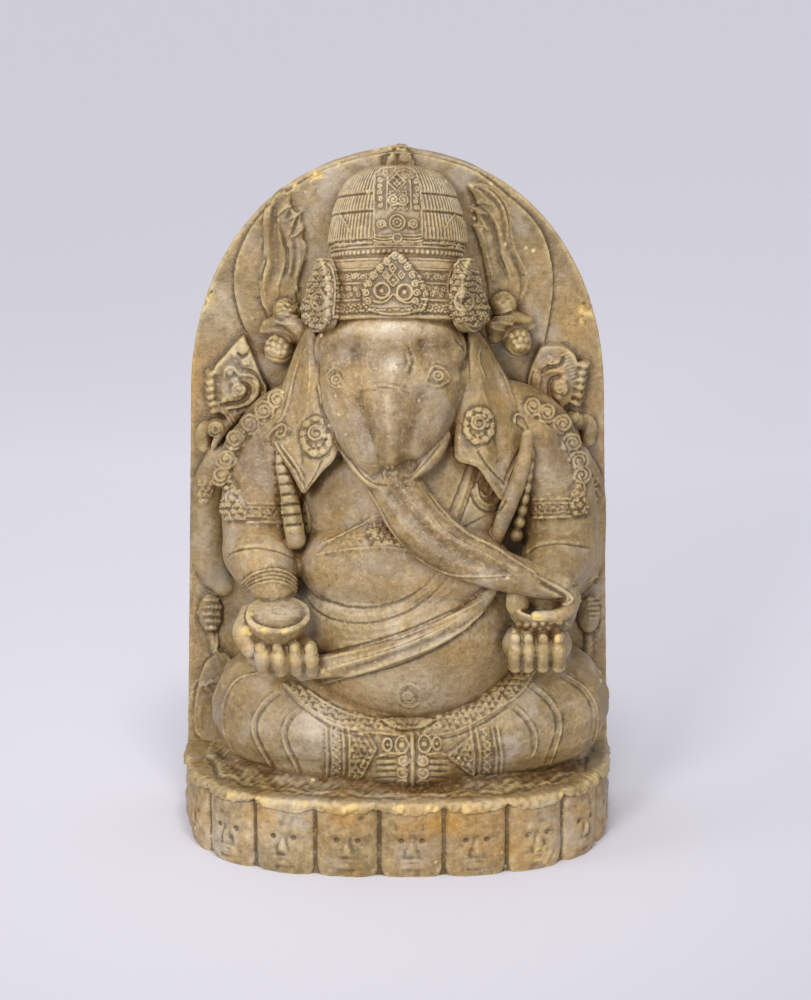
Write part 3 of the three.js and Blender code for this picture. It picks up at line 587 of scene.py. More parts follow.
# Knocked places: x, y, z, reach and depth in millimetres
KNOCKS = [
    (-124, 41, 352, 4.5, 2.2), (-127, 42, 346, 2.5, 1.2), (121, 41, 342, 5, 2.4),
    (118, 40, 345, 2.5, 1.2), (-52, 40, 430, 3.5, 1.6), (-38, 40, 437, 2.5, 1), (-64, 41, 423, 2, 0.8),
    (-94, -64, 171, 2.6, 0.7), (-84, -80, 165, 2.4, 0.7), (-70, -83, 163.5, 2.2, 0.7),
    (-60, -80, 165, 2.2, 0.6), (-95, -68, 160, 2.4, 0.5), (-45, -68, 130, 3.2, 0.8),
    (98.5, -80, 160, 2.6, 0.6), (76, -80, 170, 2.6, 0.8), (88, -82, 172, 2.6, 0.8),
    (100, -78, 171, 2.4, 0.7), (-81, -79, 149, 2.6, 0.4), (99, -70, 6, 7, 2.2), (92, -73, 14, 3.5, 1.2),
    (-30, -83, 47.5, 3.4, 1.4), (2, -84, 48, 3.2, 1.4), (22, -84, 47.5, 3, 1.2),
    (-62, -80, 47.5, 3.2, 1.4), (44, -83, 48, 3.2, 1.3), (70, -77, 49, 3.4, 1.4),
    (108, -60, 49, 4.2, 1.6), (128, -30, 48, 4.2, 1.4), (-108, -60, 48, 3.4, 1.3), (-88, -71, 48, 3, 1.2),
    (61, -46, 184, 2.2, 0.5), (-76, -12, 352, 2.2, 0.8), (10, -50, 253, 1.6, 0.4),
]

# Brown wax with painted shade and shadows, rubbed pale stone with painted highlights, and ochre in the
# front drawing: place, reach across and down, and share
BROWN_WAX_AND_SHADE = [
    (341, 352, 19, 15, 0.95), (438, 348, 17, 13, 0.8), (390, 354, 56, 14, 0.55), (388, 356, 16, 12, 0.4),
    (404, 425, 6, 40, 0.4), (364, 436, 9, 30, 0.85), (424, 440, 8, 26, 0.6), (416, 507, 24, 36, 0.8),
    (453, 540, 30, 22, 0.8), (500, 563, 28, 16, 0.5), (453, 421, 11, 40, 0.5), (376, 415, 50, 60, 0.38),
    (253, 450, 30, 40, 0.8), (560, 440, 22, 38, 0.55), (400, 836, 190, 16, 0.2), (334, 494, 30, 30, 0.45),
    (378, 566, 42, 18, 0.7), (291, 516, 13, 40, 0.7), (300, 580, 14, 32, 0.9), (516, 530, 16, 40, 0.8),
    (535, 384, 16, 26, 0.7), (239, 416, 20, 13, 0.6), (294, 343, 13, 13, 0.7), (498, 343, 14, 14, 0.6),
    (282, 235, 13, 40, 0.45), (494, 262, 13, 50, 0.45), (312, 753, 20, 18, 0.5), (462, 753, 18, 18, 0.45),
    (225, 703, 10, 22, 0.4), (407, 788, 170, 7, 0.75), (234, 766, 50, 12, 0.25), (412, 784, 60, 9, 0.5),
    (560, 455, 18, 26, 0.4), (300, 640, 60, 7, 0.3), (206, 600, 10, 70, 0.3), (575, 600, 10, 60, 0.4),
    (440, 554, 32, 18, 0.7), (398, 425, 40, 26, 0.6), (400, 500, 13, 17, 0.9), (245, 720, 24, 24, 0.4),
    (290, 722, 20, 20, 0.35), (250, 455, 20, 30, 0.45), (455, 838, 60, 20, 0.3), (214, 690, 12, 40, 0.4),
    (484, 430, 14, 40, 0.3), (350, 295, 30, 14, 0.3), (476, 300, 16, 20, 0.3),
]
# Pale patches: rubbed pale stone together with painted highlights on lit places such as the forehead, the
# trunk's root, the cheek's edge and the bowl's top.
PALE_STONE_AND_HIGHLIGHTS = [
    (407, 802, 180, 4, 0.5), (400, 270, 70, 40, 0.25), (394, 327, 44, 8, 0.75), (328, 424, 9, 36, 0.55),
    (350, 462, 14, 14, 0.4), (389, 402, 13, 30, 0.35), (398, 685, 52, 22, 0.4), (278, 614, 31, 13, 0.8),
    (225, 839, 24, 24, 0.7), (275, 839, 22, 24, 0.45), (316, 716, 24, 26, 0.4), (534, 721, 30, 24, 0.3),
    (216, 312, 26, 34, 0.35), (362, 175, 70, 14, 0.3), (398, 190, 50, 28, 0.35), (560, 600, 16, 26, 0.3),
    (450, 636, 60, 5, 0.4), (330, 250, 18, 60, 0.2), (480, 620, 22, 10, 0.3), (394, 365, 9, 9, 0.8),
    (338, 604, 46, 16, 0.5), (315, 748, 18, 26, 0.4), (275, 738, 26, 20, 0.25), (205, 520, 8, 60, 0.25),
    (560, 840, 30, 20, 0.35), (440, 700, 40, 14, 0.3),
]
OCHRE = [
    (346, 815, 24, 20, 0.8), (434, 822, 26, 20, 0.9), (472, 826, 22, 22, 0.9), (539, 839, 16, 14, 0.5),
    (330, 689, 22, 14, 0.4), (539, 384, 12, 26, 0.55), (194, 375, 8, 32, 0.55), (394, 412, 18, 30, 0.3),
    (580, 321, 22, 22, 0.45), (300, 160, 40, 12, 0.3), (250, 640, 20, 12, 0.3), (455, 800, 90, 6, 0.4),
    (560, 380, 8, 30, 0.4), (330, 345, 10, 14, 0.3),
]


def slab_outline():
    """The slab's outline from its foot on the reader's right, over its point, to its foot on the left."""
    narrowing = ARCH_HALF_WIDTH - SLAB_FOOT_HALF_WIDTH
    side_height = ARCH_FOOT_Z - PLINTH_TOP_Z
    right = []
    for z in np.linspace(30, ARCH_FOOT_Z, 22):
        right.append((SLAB_FOOT_HALF_WIDTH + narrowing * (z - PLINTH_TOP_Z) / side_height, z))
    for turn in np.linspace(0.04, math.pi / 2, 34):
        x = ARCH_HALF_WIDTH * math.cos(turn) ** (2 / ARCH_POWER)
        z = ARCH_FOOT_Z + ARCH_HEIGHT * math.sin(turn) ** (2 / ARCH_POWER)
        right.append((x, z + 4 * max(0, 1 - abs(x) / 34) ** 1.4))
    left = [(-x, z) for x, z in reversed(right[:-1])]
    return np.array(right + left)


def slab_body():
    outline = slab_outline()
    middle = np.array([0, 250])
    out = outline - middle
    out[:, 0] /= np.abs(out[:, 0]).max()
    out[:, 1] = np.clip(out[:, 1] / 200, 0, 1) ** 3
    out[:, 0] *= 0.5
    rings = []
    for depth, shrink in ((SLAB_FRONT_Y, 1.5), (41.5, 0), (62, 4), (82, 11), (BACK_Y, 13)):
        at = outline - shrink * out
        rings.append(np.stack([at[:, 0], np.full(len(at), float(depth)), at[:, 1]], 1))
    return settled(stacked(rings))


NIMBUS = drawn(-84, 262, -92, 314, -102, 338, -106, 367, -94.5, 397.5, -72, 420, -40, 438, 1, 446,
    44, 437, 69, 420, 90, 400, 99, 378, 100.5, 352, 95, 318, 84, 262)
LEFT_RIBBON = drawn(-68.5, 421, -76, 419, -83, 411, -86, 400, -85.5, 386, -84, 374, -87, 361, -86, 348,
    -81, 334, -73, 328, -63, 341, -66, 351, -63.5, 364, -60, 377, -58.5, 386, -61, 391, -60, 398,
    -62.5, 401, -62, 406, -66, 408, -69, 413)
RIGHT_RIBBON = drawn(45, 425, 52, 425.5, 59, 422, 66, 413, 70, 400, 71, 387, 75, 376, 79, 364, 77.5, 351,
    72, 341, 60, 348, 58.5, 361, 56, 374, 53, 387, 49.5, 396, 48, 399, 51, 401, 50, 407, 47, 410, 51, 411,
    49, 418)
LEFT_FAN = drawn(-100.1, 327.3, -111.1, 315.3, -117.6, 307.9, -118.8, 300.5, -118.9, 287.5, -117.3, 280.1,
    -111.7, 276.7, -102.6, 277.2, -95.3, 280.1, -87.0, 287.5, -84.3, 293.1, -87.8, 300.5, -92.2, 312.5,
    -96.6, 322.7)
RIGHT_FAN = drawn(93.3, 321.0, 101.8, 321.9, 108.4, 320.5, 115.5, 313.3, 114.8, 300.7, 111.3, 285.2,
    102.3, 280.8, 93.8, 282.3, 85.1, 292.9, 84.6, 300.7, 89.1, 314.2)


def carved_slab():
    parts = [slab_body()]
    parts += [
        plate(curved(NIMBUS, 5), 38, 60),
        plate(curved(LEFT_RIBBON, 4, True), 36, 60),
        plate(curved(RIGHT_RIBBON, 4, True), 36, 60),
        plate(curved(LEFT_FAN, 4, True), 27.5, 60),
        plate(curved(RIGHT_FAN, 4, True), 27.5, 60),
    ]
    left_knuckles = drawn(-120.3, 303, -120.8, 298, -120.8, 293, -120.6, 288.2, -120, 283.6, -118.6, 279)
    right_knuckles = drawn(120.4, 309, 119, 304.4, 118.4, 299.8, 117.8, 294.8, 117, 289.6, 115.6, 284)
    for side, knuckles in ((-1, left_knuckles), (1, right_knuckles)):
        for i, (x, z) in enumerate(knuckles):
            parts += [
                ball((x - side * 0.5, 31, z), (3.9, 5.2, 2.6), (0, side * (8 + 3 * i), 0), 3),
                ball((x + side * 1.6, 34.5, z + 0.4), (2.8, 5, 2.3), (0, side * (8 + 3 * i), 0), 3),
            ]
    for side, x, z in ((-1, -116.6, 268.5), (1, 114.6, 273)):
        parts += [
            ball((x, 29, z), (6.6, 6.6, 5.6)),
            limb([(x + side * 1, 30, z - 3, 4.6), (x + side * 7, 34, z - 2, 5.2),
                (x + side * 9.5, 36, z - 7, 6), (x + side * 9, 36, z - 14, 5.4)]),
            limb([(x - side * 12, 30, z + 8, 4), (x - side * 5, 27, z, 3.2),
                (x + side * 1, 26, z - 9, 2.4), (x + side * 3, 28, z - 15, 1.6)]),
        ]
    for side, x in ((-1, 0), (1, 1)):
        parts.append(limb([(side * 114 + x, 32, 246, 11), (side * 124 + x, 40, 226, 10.5),
            (side * 125 + x, 42, 196, 11.5), (side * 123 + x, 42, 172, 11.5),
            (side * 116 + x, 41, 158, 8)], 0.75))
    parts += [
        ball((-124, 38, 140), (8, 8, 13)),
        ball((126.5, 38, 138), (7.5, 8, 12)),
        limb([(-124, 40, 130, 3), (-122, 40, 118, 3), (-118, 41, 104, 4)]),
        limb([(126.5, 40, 128, 3), (127, 40, 116, 3), (125, 41, 104, 4)]),
        plate(curved(drawn(-136, 60, -134, 84, -128, 104, -118, 112, -110, 106, -106, 84, -108, 58,
            -118, 50, -130, 50), 4, True), 37.5, 60),
        ball((-76, 22, 321), (9.6, 15, 9.4), (0, 30, 0)),
        ball((77, 22, 326), (9, 15, 8.8), (0, -34, 0)),
        limb([(-84, 30, 336, 3), (-72, 24, 340, 5), (-62, 20, 334, 6)]),
        limb([(-86, 32, 332, 3), (-74, 26, 333, 4.5), (-62, 20, 329, 5)]),
        ball((-72, 28, 345), (8, 10, 8)),
        limb([(84, 30, 338, 3), (72, 24, 341, 5), (62, 20, 335, 6)]),
        limb([(86, 32, 334, 3), (74, 26, 334, 4.5), (62, 20, 330, 5)]),
        ball((68, 28, 349), (8.5, 10, 8.5)),
        plate(drawn(-7.4, 430, -8, 436, -6.6, 441, -4.5, 444.5, 0, 448.4, 5.4, 448, 8.6, 444, 10.6, 440,
            11, 435, 10.6, 430), 34.5, 60),
    ]
    piece = joined(parts, "carved_slab")
    fused(piece, mesh_width(0.85))
    eased(piece, 2)
    work = Carving(piece)
    ribbon_work(work)
    fan_work(work)
    small_slab_work(work)
    work.lay()
    points = places(piece)
    points[:, 2] = np.maximum(points[:, 2], 0.6)
    put(piece, points)
    return thinned(piece, SLAB_TRIANGLES)


def ribbon_work(work):
    """The fluttering ribbon on each side of the crown: doubled edges, a sunk middle and flame-like tips."""
    work.depths = (20, 90)
    left_out = drawn(288.5, 193, 278, 194.5, 271, 199.5, 266.5, 209, 264.5, 223, 265.5, 238, 264.5, 259.5,
        261, 273.5, 260.5, 287.5, 263, 301.5, 270, 315.5)
    left_in = drawn(288, 195, 280, 196.5, 273.5, 201.5, 269.5, 210, 268, 223, 268.5, 238, 268, 260.5,
        264.5, 273.5, 263.5, 287.5, 266, 300)
    work.cord(left_out, 1.5, 1.2, 0.6)
    work.cord(left_in, 1.1, 0.7, 0.6)
    work.groove(drawn(284, 197.5, 277, 206, 273.5, 218.5, 274.5, 235.5, 275.5, 249.5, 275, 266.5,
        270, 281.5, 270, 297), 6.5, 2.0, 0.8)
    work.cord(drawn(278, 218.5, 279, 232.5, 281.5, 244, 284, 252, 284.5, 263.5, 281.5, 274.5, 278, 286,
        278, 297), 1.4, 1.3, 0.6)
    work.groove(drawn(281.5, 227, 284, 241, 287.5, 252, 287, 266.5, 283, 280.5), 2.6, 1.3, 0.8)
    for tip in (drawn(273.5, 216, 278, 214.5, 284, 209, 293, 205),
            drawn(283, 224, 289.5, 218.5, 296.5, 216, 297.5, 216.5),
            drawn(286.5, 237, 291.5, 230, 295, 218.5, 303.5, 210),
            drawn(291, 238, 296.5, 234.5, 303, 229.5)):
        work.cord(tip, 1.4, 1.3, 0.7)
    work.groove(drawn(284, 224, 287.5, 218.5, 291, 210), 2.2, 1.4, 0.7)
    work.groove(drawn(292, 232.5, 295.5, 224, 298.5, 216.5), 2.2, 1.6, 0.7)
    work.cord(drawn(296.5, 237, 300, 249.5, 299.5, 263.5, 296.5, 277.5, 296.5, 288.5, 299.5, 297), 1.4,
        1.2, 0.5)
    work.groove(drawn(293, 241, 295, 252, 294, 266.5, 291, 280.5), 2.4, 1.2, 0.8)
    right_out = drawn(471.5, 187.5, 478, 184.5, 487, 186, 497, 193, 506, 204.5, 510.5, 219, 511.5, 234,
        514.5, 248.5, 520.5, 260.5, 525.5, 272, 527, 284, 523.5, 295.5, 517.5, 308.5)
    right_in = drawn(478, 187, 485.5, 188.5, 495, 195.5, 502.5, 206.5, 507, 220, 508, 234.5, 511.5, 249.5,
        517.5, 261, 522.5, 272.5, 524, 284)
    work.cord(right_out, 1.5, 1.2, 0.6)
    work.cord(right_in, 1.1, 0.7, 0.6)
    work.groove(drawn(479.5, 190.5, 488.5, 195, 498, 204.5, 503, 217.5, 505, 234, 508.5, 250, 514.5, 263,
        519, 276.5, 520, 288), 4.2, 1.5, 0.8)
    work.cord(drawn(476.5, 202.5, 484, 207.5, 492.5, 216.5, 498.5, 228, 501, 242.5, 503, 257.5,
        508.5, 270.5, 511, 284, 509.5, 292.5), 1.5, 1.4, 0.6)
    work.groove(drawn(484, 216.5, 491, 225, 495.5, 239.5, 498, 254.5, 503, 269, 505, 281), 5.0, 1.6, 0.8)
    for tip in (drawn(475.5, 202.5, 484, 203, 493.5, 205), drawn(478, 213.5, 484, 213.5, 488, 215),
            drawn(474.5, 226, 484, 227, 491, 231), drawn(478.5, 214.5, 483.5, 223.5, 487.5, 231),
            drawn(472, 188, 481, 193, 489.5, 204.5)):
        work.cord(tip, 1.2, 1.2, 0.7)
    work.cord(drawn(477.5, 227.5, 484, 239.5, 487, 254.5, 491, 269, 493, 281), 1.4, 1.3, 0.5)


def fan_work(work):
    """The scrolled clasp above each rear hand."""
    work.depths = (18, 60)
    work.groove(drawn(223, 404.5, 229, 404, 239, 403, 245.5, 399, 249, 392, 248, 386.5, 243.5, 384),
        3.6, 3.4, 0.4)
    work.groove(drawn(244, 369.5, 253, 373, 260, 380.5, 262.5, 390, 258.5, 400, 250, 406.5, 239, 410),
        3.2, 2.4, 0.5)
    work.cord(drawn(225, 377, 225.5, 370.5, 231, 367, 236, 370, 240.5, 374.5, 250, 375, 257, 379,
        259.5, 386), 2.6, 1.8, 0.3)
    work.cord(drawn(226.5, 408.5, 239, 406.5, 250, 403, 256.5, 394.5, 257, 386, 253, 380.5), 3.0, 1.6,
        0.4)
    work.groove(drawn(237.5, 353, 243, 356, 247.5, 354), 2.0, 2.2)
    work.bead((243, 349.5), 4.0, 2.0)
    work.bead((236, 353.5), 3.0, 1.6)
    work.whorl((239.5, 390), 5.4, 1.8, 2.0, 1, 1.8)
    work.whorl((245.5, 363), 3.0, 1.4, 0.5, -1, 1.5)
    work.whorl((229.5, 372), 3.0, 1.4, 3.5, 1, 1.4)
    work.whorl((229.5, 396.5), 2.8, 1.4, 1.5, -1, 1.3)
    work.whorl((236, 380.5), 2.6, 1.3, 0.5, 1, 1.2)
    work.bead((224, 402), 2.2, 1.4)
    for i in range(10):
        y = 392 + 19 * i
        work.groove([detail(LEFT_FAN_DETAIL, 246, y), detail(LEFT_FAN_DETAIL, 300, y + 16)], 1.1, 1.0)
    work.groove(drawn(541.5, 376.5, 545.5, 369, 554.5, 366.5, 561, 364, 563, 359.5), 3.2, 3.0, 0.4)
    work.groove(drawn(558.5, 406, 552, 399, 549.5, 389, 551.5, 380, 558.5, 377), 3.6, 3.4, 0.4)
    work.groove(drawn(534.5, 364, 530, 378.5, 533, 393.5, 542.5, 403.5), 3.4, 2.2, 0.5)
    work.cord(drawn(538, 389, 539.5, 378.5, 545.5, 373, 554.5, 370.5, 563, 372), 2.8, 1.7, 0.4)
    work.whorl((560, 388), 5.2, 1.8, 1.0, -1, 1.8)
    work.whorl((550.5, 360), 3.2, 1.4, 0.5, 1, 1.8)
    work.whorl((542.5, 364.5), 2.8, 1.4, 2.5, -1, 1.6)
    work.bead((557, 364), 2.6, 1.8)
    work.bead((564.5, 378.5), 2.4, 1.4)
    work.bead((558.5, 397.5), 2.4, 1.4)
    for i in range(9):
        x, y = 1165 + 9 * i, 232 + 22 * i
        work.groove([detail(RIGHT_FAN_DETAIL, x, y), detail(RIGHT_FAN_DETAIL, x + 46, y - 18)], 1.1, 1.0)
    for place in ((216, 429.5), (571, 416)):
        work.ring(place, 4.4, 1.1, 0.9)
        work.ring(place, 2.4, 0.9, 0.9)
    work.cord(drawn(222, 411, 227.5, 417, 232, 425), 1.2, 1.2)
    work.cord(drawn(226.5, 411, 232, 417, 236, 424), 1.2, 1.2)


def small_slab_work(work):
    """The rear arms' armlets, the lotus buds, the buds by the ears and the small knob over the crown."""
    work.depths = (0, 90)
    for x, y, way in ((288, 305, 1), (503, 300, -1)):
        for turn in range(5):
            bend = math.radians(-70 + 35 * turn)
            tip = (x + 8 * math.sin(bend), y - 8 * math.cos(bend))
            side = (x + 5 * math.sin(bend) + way, y - 4 * math.cos(bend))
            work.groove([(x, y + 4), side, tip], 1.5, 1.0, 0.3)
    work.tendrils(drawn(197, 478.5, 205.5, 475.5, 215, 481.5, 213.5, 495.5, 205.5, 506.5, 197, 506.5),
        4.0, 1.0, 11, 0.6)
    work.tendrils(drawn(585, 475.5, 594, 469.5, 601, 478.5, 602, 500.5, 592.5, 502, 585, 493),
        4.0, 1.0, 12, 0.6)
    for top, foot, wide in (((211, 596.5), (211, 631.5), 68), ((592.5, 596), (592.5, 621), 46)):
        for row in range(5):
            share = (row + 0.5) / 5
            y = top[1] + (foot[1] - top[1]) * share
            half = wide / 7 * math.sin(math.pi * (0.25 + 0.6 * share)) * 0.9
            for k in range(-2, 3):
                x = top[0] + half * (k + 0.5 * (row % 2)) / 2.4
                work.bead((x, y), 1.35, 1.2)
    work.cord(drawn(217, 634.5, 217, 644, 216, 650), 1.4, 1.0)
    for blade in (drawn(216, 650.5, 205.5, 658, 201, 666.5), drawn(217, 650.5, 222, 657, 224.5, 661),
            drawn(202.5, 682, 206.5, 687.5, 215, 694.5), drawn(205.5, 687.5, 209.5, 682, 217, 682)):
        work.cord(blade, 1.2, 0.9, 0.6)
    for leaf in (drawn(191.5, 704, 194, 686.5, 202, 676), drawn(196, 705.5, 199, 689.5, 205.5, 682),
            drawn(204, 685.5, 210, 691.5, 216.5, 699), drawn(204, 685.5, 209.5, 683.5, 216, 682.5),
            drawn(202, 729, 200.5, 715.5, 202, 704), drawn(189, 721.5, 189, 708.5, 190.5, 698)):
        work.cord(leaf, 1.2, 0.8, 0.6)
    work.cord(drawn(195.5, 600.5, 194.5, 617.5, 196.5, 634.5, 201, 647), 1.1, 0.8, 0.5)
    work.cord(drawn(590, 581, 595.5, 577, 598.5, 577), 1.1, 0.9)
    work.cord(drawn(600, 609, 601, 624, 598.5, 635.5, 589.5, 647), 1.1, 0.8, 0.5)
    for x, y in drawn(270, 337, 275.5, 338, 281, 341, 286.5, 346.5, 267.5, 342.5, 273.5, 344, 279, 346.5,
            284.5, 352.5, 267.5, 349, 273.5, 350, 279, 353):
        work.bead((x, y), 1.9, 1.2)
    work.groove(drawn(264, 353, 270, 357, 278, 359.5, 285, 359.5, 291, 355), 1.6, 1.2)
    for x, y in drawn(511.5, 336, 517.5, 333, 523.5, 333, 514.5, 342, 520.5, 339, 526.5, 340, 517.5, 347,
            523.5, 346.5, 528.5, 348):
        work.bead((x, y), 1.9, 1.2)
    work.groove(drawn(509.5, 348, 514.5, 353, 522, 355, 529.5, 353.5), 1.6, 1.2)
    for ridge in (drawn(277, 310.5, 284, 309, 292, 310.5, 297.5, 312),
            drawn(275.5, 321, 284, 324, 297.5, 323.5), drawn(278, 304, 285, 303, 292, 305.5),
            drawn(277, 314, 286.5, 314.5, 296.5, 317)):
        work.cord(ridge, 1.3, 1.0)
    work.ring((293, 305.5), 2.4, 1.0, 1.0, 1.3)
    for ridge in (drawn(492.5, 314.5, 501.5, 312.5, 510.5, 310), drawn(492.5, 318, 503, 317, 511.5, 316),
            drawn(491, 323.5, 501.5, 322.5, 513, 325), drawn(489.5, 327, 495.5, 329, 504.5, 330.5)):
        work.cord(ridge, 1.3, 1.0)
    border = seen(np.array([[x, 38, z] for x, z in curved(NIMBUS, 5)]))
    work.depths = (30, 60)
    work.groove(border, 1.6, 1.0, smooth=False)
    work.depths = None
    work.groove([(382.5, 165.5), (383, 153.5)], 1.1, 1.4, smooth=False)
    work.groove([(398, 165), (398, 154)], 1.1, 1.4, smooth=False)
    work.groove([(412.5, 165), (412.5, 154)], 1.1, 1.2, smooth=False)
    work.cord(drawn(382, 154, 398, 152.5, 413.5, 154), 1.2, 1.2)
    for x, y in drawn(389, 146.5, 394.5, 144.5, 401, 145, 406, 146.5, 391, 150, 398, 148.5, 404, 150.5):
        work.bead((x, y), 1.5, 1.0)
    work.whorl((404, 158), 3.0, 1.4, 0.4, 1, 1.0)
    work.whorl((390.5, 159), 2.6, 1.4, 2.4, -1, 0.8)


def plan_point(angle):
    c, s = math.cos(angle), math.sin(angle)
    x = WALL_HALF_WIDTH * math.copysign(abs(c) ** (2 / WALL_POWER), c)
    return x, SLAB_FRONT_Y - WALL_REACH * abs(s) ** (2 / WALL_POWER)


def wall_path():
    """The wall's plan as close points, from the back on the left, round the front, to the back."""
    points = [(-WALL_HALF_WIDTH, BACK_Y)]
    points += [plan_point(math.pi - math.pi * i / 2400) for i in range(2401)]
    points.append((WALL_HALF_WIDTH, BACK_Y))
    points = np.array(points)
    gaps = np.hypot(*np.diff(points, axis=0).T)
    return points, np.concatenate([[0], np.cumsum(gaps)])


def skull_relief(u, z):
    """How far the wall stands out, u across a skull from its middle and z up from the ground."""
    half = 20.3 - 2.6 * np.maximum(0, 1 - z / 8) ** 2
    round_ = np.maximum(0, 1 - np.abs(u / half) ** 3.4) ** 0.55
    upright = np.maximum(0.3, 1 - np.abs((z - 24) / 28) ** 4) ** 0.5

    def bump(du, dz, wide, tall, power=4):
        return np.exp(-np.abs(du / wide) ** power - np.abs(dz / tall) ** power)

    out = 6.4 + 5.4 * round_ * upright
    out -= 0.7 * bump(np.abs(u) - 7, z - 25.2, 4.0, 3.0, 2)
    out -= 2.2 * bump(np.abs(u) - 6.7, z - 24.8, 1.35, 1.25, 2)
    out += 0.5 * bump(u, z - 30, 11, 2.6, 2)
    out += 0.5 * bump(np.abs(u) - 10.5, z - 17, 4.4, 4.6, 2)
    out += 1.4 * bump(u, z - 18.6, np.maximum(1.0 + 0.26 * (24 - z), 0.7), 4.6, 3)
    out += 1.4 * bump(u, z - 9.2, 6.6, 3.0, 3)
    out -= 1.1 * bump(u, z - 9.2, 4.9, 1.7, 3)
    out += 0.8 * bump(u, z - 8.9, 4.0, 0.7, 2)
    return out


def skull_plinth():
    path, lengths = wall_path()
    whole = lengths[-1]
    pitch = mesh_width(0.85)
    front = np.arange(lengths[1], lengths[-2], pitch)
    marks = np.concatenate([[0, 15, 30], front, [whole - 30, whole - 15, whole]])
    x = np.interp(marks, lengths, path[:, 0])
    y = np.interp(marks, lengths, path[:, 1])
    ahead = np.stack([np.interp(marks + 1, lengths, path[:, k]) for k in (0, 1)], 1)
    ahead -= np.stack([np.interp(marks - 1, lengths, path[:, k]) for k in (0, 1)], 1)
    ahead /= np.hypot(*ahead.T)[:, None]
    out = np.stack([ahead[:, 1], -ahead[:, 0]], 1)
    u = (marks - whole / 2 - MIDDLE_SKULL) / SKULL_PITCH
    u = (u - np.round(u)) * SKULL_PITCH
    back = np.isin(np.arange(len(marks)), [0, len(marks) - 1])
    rings = []
    for z in np.concatenate([np.arange(0, HEM_Z - 0.6, pitch), [HEM_Z - 0.5, HEM_Z - 0.1]]):
        spot = np.stack([x, y, np.full(len(x), z)], 1)
        away = skull_relief(u, z) - SKULL_SETBACK + 0.2 * uneven(spot, 11, 51)
        away += 0.05 * uneven(spot, 4, 52)
        away[back] = 0
        rings.append(np.stack([x + out[:, 0] * away, y + out[:, 1] * away, np.full(len(x), z)], 1))
    lip = 3.2 - 1.8 * (np.abs(u) / SKULL_HALF) ** 3 - 1.2 * bell(SKULL_HALF - np.abs(u), 1.8)
    lip[back] = 0
    edge = np.stack([x, y, np.zeros(len(x))], 1)
    drop = 3.2 * (1 - (np.abs(u) / SKULL_HALF) ** 2) - 1.0 + 0.4 * uneven(edge, 26, 53)
    drop += 0.35 * uneven(edge, 7, 54)
    for inward, z in ((1.6, 45.2), (0.5, 44.6), (0, 45.4), (-0.1, 46.8), (0.25, 48.2), (1.1, 49.3),
            (2.4, 49.9), (4.2, 50.1)):
        away = lip - inward + 0.4 * uneven(edge + [0, 0, 3 * z], 5, 57)
        away[back] = 0
        heights = z - drop * np.clip((49.5 - z) / 3.4, 0, 1) + 0.25 * uneven(edge + [0, 0, 3 * z], 4, 58)
        rings.append(np.stack([x + out[:, 0] * away, y + out[:, 1] * away, heights], 1))
    rim = rings[-1]
    calm = np.stack([x - 1.6 * out[:, 0], y - 1.6 * out[:, 1]], 1)
    calm[back] = rim[back, :2]
    edge_in = 7 + 4 * (1 - (np.abs(u) / SKULL_HALF) ** 2) + 1.2 * uneven(edge, 40, 59)
    for inward in np.concatenate([np.arange(5.2, 30, pitch), np.arange(31, 64, 3)]):
        share = min(1, (inward - 4.2) / 3)
        flat = rim[:, :2] * (1 - share) + calm * share
        ring = np.stack([flat[:, 0] * (1 - inward / WALL_HALF_WIDTH),
            BACK_Y + (flat[:, 1] - BACK_Y) * (1 - inward / WALL_DEPTH),
            np.full(len(x), float(PLINTH_TOP_Z))], 1)
        past = inward - edge_in
        cloth = rise(past, 0, 2.2) * (1.0 + 0.2 * uneven(ring, 24, 60))
        cloth = cloth + 4.8 * rise(inward, 12, 30) + 0.25 * bell(past - 2.6, 1.8)
        ring[:, 2] += cloth - 0.2 * bell(past + 1, 1.2)
        waves = 0.8 * uneven(ring, 24, 55) + 0.25 * uneven(ring, 6, 56)
        ring[:, 2] += min(1, (inward - 4.2) / 6) * waves
        rings.append(ring)
    for ring in rings:
        ring[:, 1] = np.minimum(ring[:, 1], BACK_Y - 1)
    piece = stacked(rings, triangles=False)
    piece.name = piece.data.name = "skull_plinth"
    return settled(piece)


def crossed_legs():
    parts = []
    for stations in (
        [(-24, 14, 92, 38), (-62, 12, 92, 41), (-82, -4, 89, 40), (-60, -18, 86, 37), (-36, -28, 83, 33),
            (-10, -36, 80, 28)],
        [(34, 14, 92, 38), (76, 12, 93, 41), (100, -2, 91, 39.5), (78, -17, 86, 37), (52, -27, 83, 33),
            (28, -36, 80, 28)],
        [(-86, 0, 72, 22), (-64, -26, 69, 22), (-40, -33, 68, 20), (-10, -40, 68, 20), (9, -46, 68, 20),
            (30, -37, 69, 20), (56, -26, 70, 20), (88, -12, 72, 22), (103, 4, 73, 22)],
    ):
        parts.append(limb(stations))
    parts += [
        ball((-9, -40, 74), (24, 22, 22), (0, 0, -22)),
        ball((27, -40, 74), (24, 22, 22), (0, 0, 22)),
        ball((9, -49, 71), (24, 19, 21)),
        ball((9, -22, 88), (70, 32, 30)),
    ]
    piece = joined(parts, "crossed_legs")
    fused(piece, mesh_width(1.3))
    eased(piece, 10)
    cut_behind(piece)
    fused(piece, mesh_width(0.8))
    eased(piece, 3)
    work = Carving(piece)
    hem_work(work)
    anklet_work(work)
    toe_work(work)
    work.lay()
    return thinned(piece, LEG_TRIANGLES)


